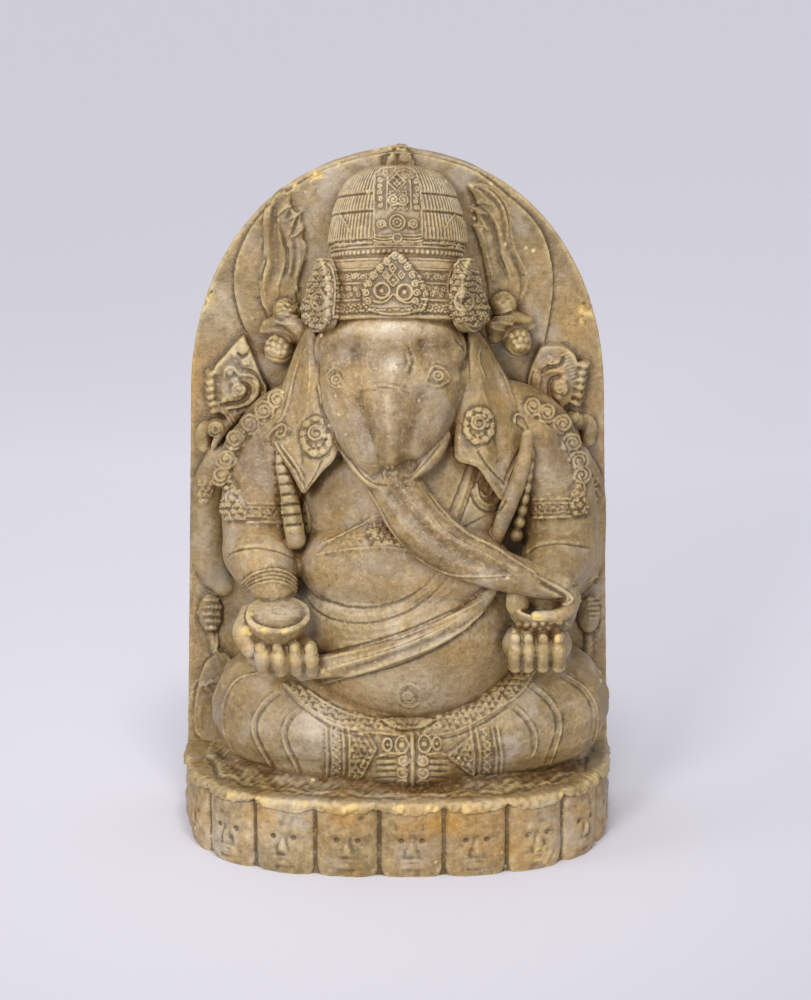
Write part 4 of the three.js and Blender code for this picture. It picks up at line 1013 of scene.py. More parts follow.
def hem_work(work):
    """The trousers' folds over both knees and the scrolled belt under the belly."""
    left_rim = drawn(257.5, 673, 240, 677.5, 229, 689.5, 223.5, 705.5, 223, 723.5, 226, 739.5,
        235.5, 754.5, 250.5, 765.5)
    left_second = drawn(276.5, 690.5, 264.5, 701, 254.5, 716.5, 252.5, 730.5, 258.5, 746.5, 267, 760,
        272, 771.5, 273.5, 782.5)
    left_third = drawn(297.5, 707.5, 287.5, 718.5, 282.5, 732.5, 286, 748.5, 293.5, 762.5, 298, 773.5,
        298, 784.5)
    right_first = drawn(516, 706, 527.5, 717, 535.5, 732.5, 536, 747.5, 531, 758)
    right_second = drawn(532, 683, 548, 696.5, 558.5, 712, 561, 728, 556.5, 746.5, 549.5, 765.5)
    right_rim = drawn(564, 673.5, 585, 687.5, 596, 705.5, 597.5, 723.5, 592, 748.5, 584.5, 762.5,
        566.5, 770)
    for line in (left_rim, left_second, left_third, right_first, right_second, right_rim):
        work.cord(line, 1.5, 0.75, 0.6)
    for line in (drawn(280, 694, 268.5, 703.5, 258.5, 718, 257, 731, 262.5, 746.5, 270.5, 760,
            276, 771.5), drawn(301.5, 710.5, 291.5, 720.5, 287, 733, 290, 748, 297.5, 762, 302, 773.5),
            drawn(512.5, 709, 523.5, 719, 531, 733, 531.5, 747),
            drawn(528, 686, 544, 699, 554, 713.5, 556, 728, 552, 745, 545, 763.5),
            drawn(560.5, 677, 580.5, 690, 591, 706.5, 592.5, 723.5, 587, 747)):
        work.groove(line, 2.6, 0.6, 0.5)
    belt = drawn(293.5, 680, 316.5, 696.5, 339, 707.5, 373, 716, 407.5, 718, 441.5, 713.5, 475.5, 700,
        498, 680.5, 512.5, 668.5, 534.5, 672, 521, 692, 502.5, 705.5, 480, 719.5, 452.5, 732, 421, 735.5,
        384.5, 734, 352.5, 729.5, 325.5, 720.5, 302.5, 705.5, 283.5, 684)
    work.tendrils(belt, 4.2, 0.8, 31, 0.5)
    lower_edge = belt[:8:-1]
    work.cord(lower_edge, 1.4, 0.9)
    work.cord(drawn(307.5, 690, 325.5, 702.5, 348, 713.5, 373, 719), 1.1, 1.2)
    lens = drawn(377.5, 719, 393.5, 716.5, 421, 716.5, 438, 719, 426.5, 728.5, 407.5, 732, 390, 728.5)
    work.field(lens, 1.9, 1.2)
    work.groove(drawn(380, 721, 392.5, 728.5, 407.5, 731.5, 425.5, 728.5, 437, 721), 1.0, 1.4)
    work.cord(drawn(288, 686.5, 302.5, 702, 316.5, 712.5, 334.5, 720.5), 1.0, 1.1)
    for line in (drawn(307.5, 710, 325.5, 724.5, 348, 733.5, 373, 738.5),
            drawn(507.5, 707.5, 484.5, 722.5, 457.5, 735.5, 434.5, 739.5)):
        work.groove(line, 1.6, 0.8, 0.6)


def anklet_work(work):
    """The anklets' upright rims with their rows of flowers, and the pointed ornament beside each."""
    left_rim = np.array(drawn(180, 727, 181, 746.5, 181.5, 764.5, 180, 784))
    right_rim = np.array(drawn(180, 727, 182.5, 742, 184.5, 757.5, 183, 778.5))
    for x, width in ((642, 1.3), (664, 1.0), (716, 1.0), (740, 1.5)):
        work.cord(left_rim + [x / LAP_DETAIL[2], 0], width, 1.0)
    for i in range(8):
        work.floret(detail(LAP_DETAIL, 690, 758 + 31 * i), 2.5, 6, 1.2)
    for x, width in ((1276, 1.5), (1302, 1.0), (1374, 1.0), (1396, 1.5)):
        work.cord(right_rim + [x / LAP_DETAIL[2], 0], width, 1.0)
    for i in range(7):
        work.floret(detail(LAP_DETAIL, 1346 + 4 * i - 0.6 * i * i, 752 + 31 * i), 2.5, 6, 1.2)
    left_point = drawn(350, 734.5, 367, 732.5, 376.5, 748.5, 362, 776, 350, 783)
    right_point = drawn(448, 756, 471.5, 736.5, 474.5, 776.5)
    for outline, pitch, seed in ((left_point, 3.8, 32), (right_point, 3.6, 33)):
        work.tendrils(outline, pitch, 1.1, seed, 0.7)
        work.cord(outline, 1.1, 1.3, smooth=False, closed=True)


def toe_work(work):
    """The hanging pleats between the shins, with the rows of toes on both sides of the middle ridge."""
    work.cord(drawn(412, 734.5, 412.5, 753, 412.5, 773.5, 412.5, 794.5), 2.2, 1.8)
    work.groove(drawn(408, 735, 408.5, 753, 408, 794), 1.6, 1.2)
    work.groove(drawn(416.5, 735, 417, 753, 416.5, 794), 1.6, 1.2)
    for place, radius, squash in (((387.5, 744.5), 2.7, 1.5), ((402, 745), 4.2, 1.3),
            ((424.5, 744), 4.2, 1.3), ((437, 743.5), 2.7, 1.5)):
        work.ring(place, radius, 1.5, 1.7, squash)
        work.bead(place, radius * 0.5, 1.5)
    for x, y in drawn(404, 761, 403, 772.5, 402.5, 784, 422.5, 761, 422.5, 773, 422.5, 783.5):
        work.bead((x, y), 2.4, 0.9)
        work.ring((x, y), 3.4, 1.3, 1.3, 0.85)
    for i in range(6):
        y = 872 + 28 * i
        work.groove([detail(LAP_DETAIL, 862, y + 6), detail(LAP_DETAIL, 950, y)], 1.7, 1.4, 0.7)
        work.groove([detail(LAP_DETAIL, 1096, y), detail(LAP_DETAIL, 1180, y + 6)], 1.7, 1.4, 0.7)
    work.cord(drawn(380, 755.5, 391.5, 753, 399.5, 754.5), 1.4, 1.1)
    work.cord(drawn(427.5, 754.5, 437, 753, 446, 755), 1.4, 1.1)


def masses(parts, name, coarse, times):
    piece = joined(parts, name)
    fused(piece, coarse)
    eased(piece, times)
    return piece


def seated_body():
    soft = [
        ball((8, -11, 146), (73, 63, 64), steps=5),
        ball((6, 0, 222), (68, 42, 60), steps=5),
        ball((5, -21, 190), (68, 47, 36), steps=5),
        ball((5, 24, 120), (100, 24, 70), steps=5),
        ball((-66, 14, 270), (42, 26, 30), (0, -28, 0)),
        ball((76, 14, 270), (42, 26, 30), (0, 28, 0)),
        limb([(-74, 10, 262, 27), (-88, 6, 232, 25), (-89, 2, 200, 24)]),
        limb([(-89, 0, 194, 24.5), (-84, -22, 190, 22), (-79, -36, 181, 16)]),
        limb([(84, 10, 262, 27), (101, 6, 232, 26), (105, 2, 200, 25)]),
        limb([(105, 0, 192, 25), (99, -22, 187, 22), (94, -40, 176, 18)]),
    ]
    piece = masses(soft, "seated_body", mesh_width(1.3), 7)
    crisp = [cut_behind(piece), ball((-73, -58, 143), (23, 19, 14)), ball((88, -57, 148), (22, 19, 16))]
    crisp += [
        dish(drawn(8, -25, 14, -19, 18, -11, 20, -3, 20.6, -0.4, 19.9, 0.1, 18.8, 0.2, 17.8, 0.2, 1, 0.4),
            (-75, -63, 170), 18),
        dish(drawn(9, -26, 16, -20, 21, -11, 23, -3, 23.4, 0.4, 22.4, 1.6, 21, 0.6, 18, -4, 11, -7,
            1, -8), (91.5, -57, 178), 17),
        limb([(-93, -50, 166, 6.5), (-97, -61, 157, 7), (-92, -70, 149, 6)]),
    ]
    for i, x in enumerate((-85.4, -74.8, -64.1, -54.5)):
        crisp += [
            limb([(x, -73, 151, 4.2), (x + 0.6, -75, 144, 4.8), (x + 2.2 - 0.6 * i, -69, 134.5, 4.5)]),
            ball((x - 0.2, -76.4, 151), (3.4, 2.4, 3.6)),
        ]
    for i, x in enumerate((73.5, 81.6, 90.8, 100.6)):
        crisp += [
            limb([(x, -74, 158, 4.0), (x, -76, 150, 4.5), (x + 0.3, -71.5, 138, 4.4)]),
            ball((x, -78, 158), (3.2, 2.4, 3.6)),
        ]
    crisp += [
        ball((75, -66, 178), (7.5, 6.5, 9), (0, 0, 10)),
        limb([(-60, -52, 127.5, 5.5), (-50, -58, 133, 7.4), (-22, -70, 140.5, 7.8), (6, -74, 150.5, 7.6),
            (34, -68, 163, 6.4), (55, -54, 177, 4.6), (61, -48, 183, 3)]),
    ]
    left_whorls = drawn(-76.4, 292.8, -85, 285.4, -94, 277.2, -103.6, 267, -109.2, 254.1, -112.9, 243)
    right_whorls = drawn(86.4, 288.5, 95.3, 284.2, 105.2, 277, 111.5, 264.4, 116.4, 252.8, 117.5, 243.1)
    for side, whorls in ((-1, left_whorls), (1, right_whorls)):
        crisp.append(limb([(x - 2 * side, 3, z - 1.5, 7.6) for x, z in whorls]))
    crisp.append(limb([(-75, -20, 263, 2.2), (-73.4, -22, 254, 3.8), (-70.4, -24, 243.6, 5),
        (-68, -25, 232, 5.8), (-66.4, -26, 220, 6.4), (-64.6, -27, 208, 6.6)], 0.8))
    for x, z, wide in ((84.3, 263, 2.8), (83.7, 256, 3), (82.7, 249, 3.2), (81.6, 241.6, 3.4),
            (80.3, 234, 3.6), (79, 226.4, 3.8), (77.4, 218.4, 4), (75.6, 209.6, 4.4)):
        crisp.append(ball((x, -21, z), (wide, 7, 4.6)))
    crisp.append(limb([(82, -26, 276, 4), (80, -29, 262, 4.6), (75.5, -30, 246, 5.4),
        (70.5, -30, 232, 5.6), (66, -29, 219, 5), (62, -27, 206, 4)], 0.8))
    piece = joined(crisp, "seated_body")
    fused(piece, mesh_width(0.8))
    eased(piece, 3)
    work = Carving(piece)
    belly_work(work)
    sash_work(work)
    arm_work(work)
    work.lay()
    return thinned(piece, BODY_TRIANGLES)


def dish(profile, place, tip):
    """A round dish of (radius, height) rings, tipped towards the front."""
    piece = crown_rings(profile, 1, 48)
    piece.rotation_euler = (math.radians(tip), 0, 0)
    piece.location = [c * MM for c in place]
    return settled(piece)


def belly_work(work):
    """The belly's drawn folds, the navel, the scrolled band under the chest and the cloth over it."""
    work.depths = (-110, -20)
    for line in (drawn(312.5, 584.5, 321.5, 596.5, 339, 604.5, 359.5, 607.5, 384.5, 605.5, 407.5, 597.5,
            427.5, 584, 437.5, 572.5), drawn(304.5, 582.5, 306, 596.5, 317, 610.5, 334.5, 619.5,
            357.5, 623, 380, 621, 407.5, 611.5, 430, 596.5, 450.5, 576)):
        work.groove(line, 1.2, 0.9, 0.6)
    work.cord(drawn(308.5, 587, 317.5, 600.5, 337, 611.5, 358.5, 615, 382.5, 612.5, 407.5, 604, 429, 590),
        4.6, 0.45, 0.5)
    work.cord(drawn(307.5, 603, 318.5, 617, 337, 626.5, 358.5, 630, 382.5, 627.5, 409.5, 618, 434.5, 603,
        455, 585), 3.8, 0.35, 0.5)
    work.groove(drawn(317, 634.5, 334.5, 638.5, 357.5, 640, 384.5, 637.5, 412, 629.5, 441.5, 614.5,
        467.5, 597.5), 1.0, 0.5, 0.6)
    work.groove(drawn(325.5, 645, 352.5, 646, 384.5, 642.5, 414, 634, 443.5, 619.5), 1.2, 0.5, 0.7)
    work.ring((409.5, 695.5), 7.7, 1.0, 0.65, 0.95)
    work.ring((409.5, 695.5), 6.3, 0.8, 0.3, 0.95)
    work.whorl((408.5, 696.5), 4.4, 1.6, 0.4, 1, 0.75)
    band = drawn(316.5, 555, 325.5, 545.5, 339, 537, 357.5, 527.5, 373, 518.5, 383.5, 515, 398, 527.5,
        409.5, 550, 389, 548, 368.5, 548, 339, 551)
    work.field(band, 0.6, 1.2)
    work.tendrils(drawn(364, 527.5, 383.5, 515.5, 398, 528.5, 410, 549, 389, 547.5, 370.5, 547.5),
        4.6, 1.5, 41, 0.5)
    work.tendrils(drawn(325.5, 545.5, 343.5, 536.5, 363, 528.5, 368.5, 545.5, 348, 549, 330, 551),
        4.2, 0.5, 42, 0)
    work.cord(drawn(316.5, 555, 339, 551, 368.5, 548, 389, 548, 409.5, 550), 1.4, 1.0)
    work.cord(drawn(322.5, 543.5, 339, 536.5, 357.5, 527, 373, 518, 383.5, 514.5), 1.5, 1.1)
    work.groove(drawn(469, 461.5, 460, 486.5, 450, 511.5), 1.5, 1.0)
    work.groove(drawn(480.5, 466.5, 471.5, 493, 461, 520.5), 1.5, 1.0)
    work.cord(drawn(475, 457, 467, 484, 456, 516), 3.2, 0.8)
    loop = drawn(472, 489, 473.5, 500, 480.5, 509, 489.5, 512.5, 498.5, 510.5, 505.5, 501.5)
    work.groove(loop, 2.0, 1.3)
    work.cord(drawn(476.5, 484.5, 478, 495.5, 483, 502.5, 491, 505, 497.5, 501.5, 501, 493), 2.0, 1.2)
    work.cord(drawn(480.5, 492, 485, 496.5, 490.5, 493.5, 492, 486), 1.6, 1.2)
    work.groove(drawn(464, 527.5, 482.5, 518, 498, 513.5), 1.4, 0.8)
    work.depths = (-110, 0)
    work.groove(drawn(307.5, 536.5, 310.5, 527.5, 307.5, 507, 302.5, 494.5), 1.6, 0.7)


def sash_work(work):
    """The rolled sash across the belly: a bright upper edge over a long hollow."""
    work.depths = (-110, -30)
    work.cord(drawn(317.5, 660, 362, 650, 407.5, 635, 452.5, 616, 487, 597.5), 1.8, 1.1, 0.5)
    work.groove(drawn(327.5, 675.5, 362, 665, 407.5, 649.5, 441.5, 634.5, 471, 618.5), 6.4, 1.7, 0.7)
    work.groove(drawn(321, 668.5, 362, 657.5, 407.5, 642.5, 448, 624), 1.2, 0.8, 0.7)
    work.cord(drawn(312, 686.5, 339, 678.5, 384.5, 665, 430, 647.5, 464, 628, 487, 608), 2.0, 1.2, 0.5)
    work.cord(drawn(339, 653.5, 384.5, 640, 430, 622, 475.5, 599), 1.1, 0.7, 0.6)
    work.groove(drawn(314.5, 655.5, 362, 644.5, 407.5, 630, 452.5, 610.5, 482.5, 594), 1.6, 1.2, 0.4)


def arm_work(work):
    """The shoulders' curled borders, the armbands with their plaques and the bracelets."""
    work.depths = (-110, 44)
    for i, (x, y) in enumerate(drawn(277.5, 400, 264, 411, 250, 424, 235.5, 439.5, 227, 459,
            221.5, 475.5)):
        work.whorl((x, y), 7.6, 2.1, 0.8 * i, -1, 1.5)
    for i, (x, y) in enumerate(drawn(533, 406.5, 547, 413, 562.5, 424, 572, 443, 579, 461, 580.5, 475.5)):
        work.whorl((x, y), 7.2, 2.1, 0.8 * i, 1, 1.5)
    work.groove(drawn(281, 407, 270, 418, 257, 429.5, 241.5, 446.5, 234, 461.5, 229, 477), 1.4, 1.0)
    work.groove(drawn(530, 414, 544, 421, 556.5, 431.5, 566, 447.5, 572, 464, 573.5, 475.5), 1.4, 1.0)
    for i in range(9):
        share = i / 8
        x, y, half = 277.5 + 16.5 * share**0.8, 443 + 82 * share, 2.5 + 6.5 * min(1, 1.5 * share + 0.1)
        work.groove([(x - half - 3, y + 1.5), (x, y), (x + half + 3, y - 1)], 1.7, 1.5)
        work.bead((x + 1, y + 5.5), 0.36 * half, 0.8)
    left_plaque = drawn(231.5, 477, 239.5, 490.5, 248, 508.5, 246.5, 520.5, 225.5, 521, 216.5, 513,
        221, 500)
    work.tendrils(left_plaque, 4.6, 1.6, 43, 0.8)
    for x, y in drawn(228.5, 488, 234.5, 490.5, 233, 497.5, 231.5, 481.5):
        work.bead((x, y), 1.7, 2.3)
    right_plaque = drawn(578, 474, 587, 491, 589, 513.5, 573, 517, 569, 507, 570, 493)
    work.tendrils(right_plaque, 4.4, 1.6, 44, 0.8)
    for x, y in drawn(577.5, 486.5, 576, 493, 581, 493.5):
        work.bead((x, y), 1.7, 2.2)
    left_band = np.array(drawn(247.5, 400, 265, 400.5, 282.5, 400.5))
    right_band = np.array(drawn(532, 401, 550.5, 400.5, 570, 400))
    bracelet = np.array(drawn(242, 591.5, 253, 582.5, 271, 577.5, 287, 580.5, 297, 589))
    for y, foot in ((455, 1.2), (472, 0.9), (512, 0.9), (537, 1.3)):
        work.cord(left_band + [0, y / ARM_DETAIL[2]], foot, 1.5)
    for x, y in drawn(253, 512, 260, 512, 267, 512.5, 273.5, 512.5, 280, 512.5):
        work.floret((x, y), 2.2, 6, 1.4)
    for y, foot in ((434, 1.2), (452, 0.9), (494, 0.9), (514, 1.3)):
        work.cord(right_band + [0, y / ARM_DETAIL[2]], foot, 1.5)
    for x, y in drawn(537.5, 508, 544, 508, 551, 507.5, 557.5, 507.5, 564.5, 507):
        work.floret((x, y), 2.2, 6, 1.4)
    work.groove(drawn(226.5, 557.5, 234.5, 551.5, 255, 547.5, 277.5, 551, 296.5, 559.5), 2.0, 1.2, 0.5)
    work.groove(drawn(524.5, 555.5, 539, 546, 562, 543, 589.5, 548), 2.0, 1.2, 0.5)
    for shift, width in ((0, 1.5), (17, 1.1), (34, 1.1), (52, 1.5)):
        work.cord(bracelet + [0, shift / ARM_DETAIL[2] - 8], width, 1.2)
    work.tendrils(drawn(566.5, 575.5, 580, 579.5, 589, 595.5, 589, 618, 576.5, 620.5, 576.5, 600),
        3.6, 1.1, 45, 0.5)
    for i in range(9):
        work.bead(detail(ARM_DETAIL, 1452 + 36 * i, 985 + 10 * math.sin(i * 0.9)), 2.0, 1.2)
    for i in range(8):
        work.bead(detail(ARM_DETAIL, 1470 + 38 * i, 1012 + 6 * math.sin(i * 1.3)), 1.5, 0.9)
    work.depths = (-110, -60)
    work.cord(drawn(248, 612.5, 255, 624, 277.5, 630, 298, 625, 308.5, 615), 1.2, 0.8)


def elephant_head():
    x = HEAD_X
    soft = [
        ball((x, 2, 318), (51, 43, 46), steps=5),
        ball((x - 19, -15, 329), (29, 24, 23), steps=5),
        ball((x + 19, -15, 329), (29, 24, 23), steps=5),
        ball((x, -22, 334), (32, 20, 20), steps=5),
        ball((x - 21, -14, 301), (26, 26, 24), steps=5),
        ball((x + 20, -14, 303), (26, 26, 24), steps=5),
        ball((x - 34, 2, 288), (26, 26, 44), steps=5),
        ball((x + 41, 2, 290), (26, 26, 44), steps=5),
        limb([(x, -12, 318, 46), (x, -21, 301, 44.5), (x, -30, 287, 40), (x, -38, 275, 32.5),
            (x, -44, 265, 25), (x + 1, -47, 257, 16.5), (x + 5, -49, 250, 8)], 0.66),
    ]
    piece = masses(soft, "elephant_head", mesh_width(1.3), 24)
    crisp = [
        piece,
        limb([(-1.5, -22, 290, 17), (-2, -36, 268, 18), (-2.5, -45, 252.5, 17.5), (5, -52, 238, 17),
            (16, -58, 224, 17), (32, -64, 212.5, 16.5), (55.5, -69, 203, 14), (80, -70, 195, 11.5),
            (100, -67, 188, 9)], 0.72),
        limb([(98, -66, 188, 7), (106, -68, 183, 6), (107, -74, 176, 4.6), (98, -78, 173, 4),
            (86, -79, 173, 3.4)]),
        limb([(-32, -33, 268, 4.4), (-24, -43, 259.5, 5), (-15.5, -51, 251.5, 4),
            (-7.5, -57, 248.5, 1.8)]),
        limb([(28, -32, 277, 5.5), (21, -43, 266, 6), (7, -56, 254, 2.6)]),
        ear([(-54, 340, -6), (-64, 326, 2), (-72, 304, 2), (-81, 284, -4), (-85, 271, -12),
            (-79, 266, -18), (-73, 259, -24), (-66.5, 250, -29), (-59.5, 239.5, -34), (-54, 246, -37),
            (-47, 255, -39), (-38, 266, -36), (-40, 290, -26), (-46, 320, -16)], (-60, -24, 272)),
        ear([(46, 340, -6), (56, 330, 2), (66, 312, 2), (78, 290, -4), (87, 272, -12), (84, 256, -20),
            (76, 246, -26), (67, 234, -32), (58, 246, -38), (50, 258, -40), (36, 264, -36),
            (38, 290, -26), (42, 320, -16)], (60, -24, 282)),
    ]
    for part in crisp:
        cut_behind(part)
    piece = joined(crisp, "elephant_head")
    fused(piece, mesh_width(0.75))
    eased(piece, 4)
    work = Carving(piece)
    face_work(work)
    ear_work(work)
    trunk_work(work)
    work.lay()
    return thinned(piece, HEAD_TRIANGLES)


def face_work(work):
    """The brow over its two hollows, the trunk's ridged root, the eyes, the round mark and the folds."""
    for line, width, height in (
        (drawn(356.5, 329, 403.5, 324, 447.5, 329), 15, 2.6),
        ([(330, 347), (347.5, 350.5)], 20, -5.2),
        ([(429, 344.5), (448, 341.5)], 19, -5.2),
        ([(373, 363.5), (405.5, 363.5)], 10, -0.8),
        (drawn(322, 379.5, 338, 386.5, 350, 396), 12, 1.2),
        (drawn(424, 376, 443, 375, 459, 378.5), 12, 1.6),
        (drawn(387.5, 398, 389.5, 430.5, 390, 461), 12, 2.6),
        (drawn(356, 400.5, 365, 426.5, 374, 449, 381, 469.5), 16, -3.8),
        (drawn(422, 400.5, 416, 426.5, 411, 449, 404.5, 469.5), 16, -3.4),
        (drawn(333.5, 414.5, 347.5, 440, 366, 465.5), 12, 0.7),
        (drawn(443, 414.5, 433.5, 435.5, 419.5, 454), 12, 0.7),
    ):
        work.swell(line, width, height)
    work.ring((337, 379.5), 2.6, 1.1, 0.9)
    work.bead((337, 379.5), 1.4, 0.5)
    work.cord(drawn(326.5, 375, 333, 368.5, 341, 370.5, 346, 381), 1.1, 0.6, 0.5)
    work.cord(drawn(328, 379.5, 335.5, 387, 345.5, 386.5), 1.1, 0.6, 0.5)
    work.ring((437, 376), 2.7, 1.1, 0.9)
    work.bead((437, 376), 1.4, 0.5)
    work.cord(drawn(426, 381, 429, 371.5, 435.5, 366, 443.5, 369.5, 448.5, 378.5), 1.2, 0.7, 0.5)
    work.cord(drawn(426.5, 383, 435.5, 386.5, 444.5, 383.5, 449, 379), 1.2, 0.7, 0.5)
    work.cord(drawn(429, 369.5, 436.5, 361.5, 445.5, 365), 0.9, 0.4)
    round_mark = drawn(373, 342, 366.5, 353, 367.5, 365.5, 374, 375)
    work.cord(round_mark, 1.0, 0.45, 0.3)
    work.cord(drawn(401, 342, 407.5, 351.5, 408.5, 364.5, 403, 373.5), 1.1, 0.6, 0.3)
    work.groove(drawn(410, 349.5, 413.5, 361, 409, 375), 3.0, 0.7)
    for x, y in drawn(411.5, 350.5, 412.5, 356.5, 410, 363.5, 407.5, 370.5, 413.5, 366.5, 396.5, 366.5,
            391.5, 370):
        work.bead((x, y), 0.9, 0.6)
    work.cord(drawn(359, 389.5, 368.5, 387, 380, 384.5, 391.5, 386, 403.5, 389, 413.5, 392.5), 2.2, 0.4,
        0.8)
    work.cord(drawn(372, 388, 382.5, 390, 396.5, 390.5, 410, 396), 1.6, 0.3, 0.8)
    work.groove(drawn(360, 391.5, 373, 390.5, 382.5, 387.5, 391.5, 389, 410, 394), 1.8, 0.3, 0.8)
    for x, y in drawn(382.5, 475, 387.5, 469, 393, 468.5, 397.5, 471.5, 389.5, 477, 396.5, 477, 401, 482,
            406.5, 480.5, 403.5, 486.5, 397.5, 485.5, 391.5, 483, 408, 487.5):
        work.bead((x, y), 1.3, 1.0)
    work.groove(drawn(317, 386.5, 320.5, 410, 332.5, 437.5, 352, 463.5), 1.2, 0.5, 0.7)
    work.groove(drawn(350, 459, 361.5, 475, 373, 483, 386, 486), 1.8, 1.1, 0.5)
    work.groove(drawn(440.5, 444.5, 429, 458.5, 415, 471.5, 403.5, 477), 1.6, 1.0, 0.5)


def ear_work(work):
    """The ears' rims, the curl on each one's outer corner, its long fold and its flower-shaped ring."""
    work.cord(drawn(305.5, 348, 299.5, 360.5, 294.5, 376, 291, 390, 287.5, 404, 282.5, 417, 275.5, 425),
        2.2, 0.5, 0.7)
    work.groove(drawn(302, 353.5, 298, 366.5, 294, 381.5, 291, 396), 1.4, 0.7, 0.6)
    work.cord(drawn(308.5, 355, 310, 376, 307, 398.5), 1.6, 0.5, 0.8)
    work.groove(drawn(312.5, 348, 318, 366.5, 320.5, 387.5, 322, 407, 328.5, 421, 335.5, 436.5), 1.6, 0.8,
        0.4)
    work.cord(drawn(265, 450.5, 264.5, 445, 270, 434, 277, 427, 283, 424.5, 286.5, 428.5, 285, 434.5,
        280.5, 437.5, 277, 435.5, 277.5, 431), 2.0, 1.5, 0.2)
    work.groove(drawn(268.5, 446.5, 272, 436.5, 278, 429.5, 283, 428.5), 1.8, 1.2, 0.5)
    work.cord(drawn(275, 442, 282.5, 454, 292, 467, 300.5, 478, 304.5, 492.5), 1.6, 1.3, 0.3)
    work.groove(drawn(278, 445, 286, 457, 295, 469.5, 302.5, 483, 304.5, 494), 2.0, 1.6, 0.5)
    work.cord(drawn(281, 445, 291, 458, 298.5, 469.5, 303, 478.5), 1.3, 1.0, 0.4)
    work.groove(drawn(321.5, 460.5, 317, 471.5, 310.5, 484, 304.5, 495.5), 1.4, 1.0, 0.4)
    work.cord(drawn(484, 334, 492.5, 342, 498, 353.5, 502, 367, 507.5, 383, 514.5, 400, 525, 414,
        532.5, 425.5, 535, 437.5), 2.2, 0.5, 0.6)
    work.groove(drawn(485.5, 348, 491, 348, 495, 355, 499.5, 367), 1.3, 0.6, 0.6)
    work.cord(drawn(481, 346.5, 478.5, 358, 481.5, 368.5, 485.5, 378.5), 1.6, 0.5, 0.8)
    work.groove(drawn(455.5, 333, 465, 348, 469, 361, 470, 378.5), 1.5, 0.7, 0.5)
    work.cord(drawn(514.5, 422.5, 514.5, 417, 518, 414.5, 524, 417, 528.5, 422.5, 530.5, 431.5,
        529.5, 444.5), 2.0, 1.4, 0.2)
    work.groove(drawn(518, 425, 522, 428, 525.5, 433, 524, 441.5, 519, 452, 512.5, 464, 507.5, 474,
        505.5, 483.5), 2.4, 1.7, 0.4)
    work.cord(drawn(528, 436, 525, 446, 519, 456.5, 513, 466.5, 508.5, 475.5, 506, 484), 1.5, 1.1, 0.4)
    work.groove(drawn(478, 452, 487, 465, 496.5, 476, 505, 484.5), 1.5, 1.1, 0.4)
    for i in range(11):
        x, y = 852 - 13 * i, 770 + 20 * i
        work.groove([detail(RIGHT_FAN_DETAIL, x, y), detail(RIGHT_FAN_DETAIL, x + 52, y - 8)], 0.9, 0.35)
    for x, y, wide, tall in ((317, 436.5, 17.2, 22), (478.5, 426, 16.6, 20.5)):
        turns = np.linspace(0, 2 * math.pi, 25)[:-1]
        rim = [(x + wide * math.cos(t), y + tall * math.sin(t)) for t in turns]
        work.field(rim, 1.3, 1.4)
        heart = (x, y - 3)
        work.hole(heart, 4.2, 1.3)
        work.whorl(heart, 6.6, 2.1, 0.5, -1, 1.8)
        for i in range(11):
            turn = 2 * math.pi * i / 11 + 0.16 * math.sin(5 * i)
            c, s = math.cos(turn), math.sin(turn)
            work.bead((x + wide * 0.78 * c, y + tall * 0.8 * s), 2.5 + 0.4 * math.sin(3 * i), 1.5)
            work.hole((x + wide * 0.84 * c, y + tall * 0.86 * s), 1.0, 0.9)
            inner = (x + wide * 0.55 * math.cos(turn + 0.3), y + tall * 0.55 * math.sin(turn + 0.3))
            work.hole(inner, 1.0, 1.2)
        foot = [(x - 8, y + 8), (x + 8, y + 8), (x + 5, y + tall - 3), (x - 5, y + tall - 3)]
        work.tendrils(foot, 3.4, 1.2, 21)


def trunk_work(work):
    """The trunk's hollow front between its thin light rims, and the curled lip of its tip."""
    work.depths = (-110, -34)
    work.swell(drawn(391.5, 495.5, 407.5, 516, 425.5, 534, 448, 550, 475.5, 562.5, 502.5, 570.5), 13,
        -2.8)
    work.swell(drawn(421, 507, 437, 527.5, 459.5, 543, 487, 557, 514, 569.5), 7, 0.9)
    work.cord(drawn(424.5, 475, 432.5, 496.5, 448, 516.5, 469, 534, 496, 547.5, 517, 561.5, 535.5, 573),
        1.6, 0.9, 0.4)
    work.cord(drawn(369, 491, 379, 508, 392.5, 533, 408.5, 551, 431, 566.5, 454, 575, 487, 577,
        510.5, 575.5), 1.6, 0.8, 0.4)
    work.cord(drawn(429, 511.5, 443.5, 529.5, 466.5, 544.5, 491.5, 557, 512, 574), 0.9, 0.5, 0.5)
    work.cord(drawn(534.5, 575, 552.5, 584.5, 566.5, 592.5, 572.5, 600, 564, 604.5, 543.5, 605.5,
        527.5, 610), 2.0, 1.0, 0.4)
    work.groove(drawn(541.5, 584, 555, 591, 564, 597.5, 557.5, 601.5, 541.5, 602.5), 3.2, 1.2, 0.5)


def ear(outline, ridge):
    """A hanging ear: a rim (x, z, y) drawn over a ridge point (x, y, z), closed behind at y 20."""
    rim = curved(outline, 5, True)
    edge = np.stack([rim[:, 0], rim[:, 2], rim[:, 1]], 1)
    top = np.array(ridge, float)
    rings = [np.stack([edge[:, 0], np.full(len(edge), 20.0), edge[:, 2]], 1), edge + [0, 1.5, 0]]
    for share, bulge in ((0.12, 0.6), (0.5, 0.95), (0.85, 1.0)):
        ring = edge + (top - edge) * share
        hump = 3 * math.sin(math.pi * share) ** 0.5 * bulge
        ring[:, 1] = edge[:, 1] + (top[1] - edge[:, 1]) * share - hump
        rings.append(ring)
    return settled(stacked(rings))


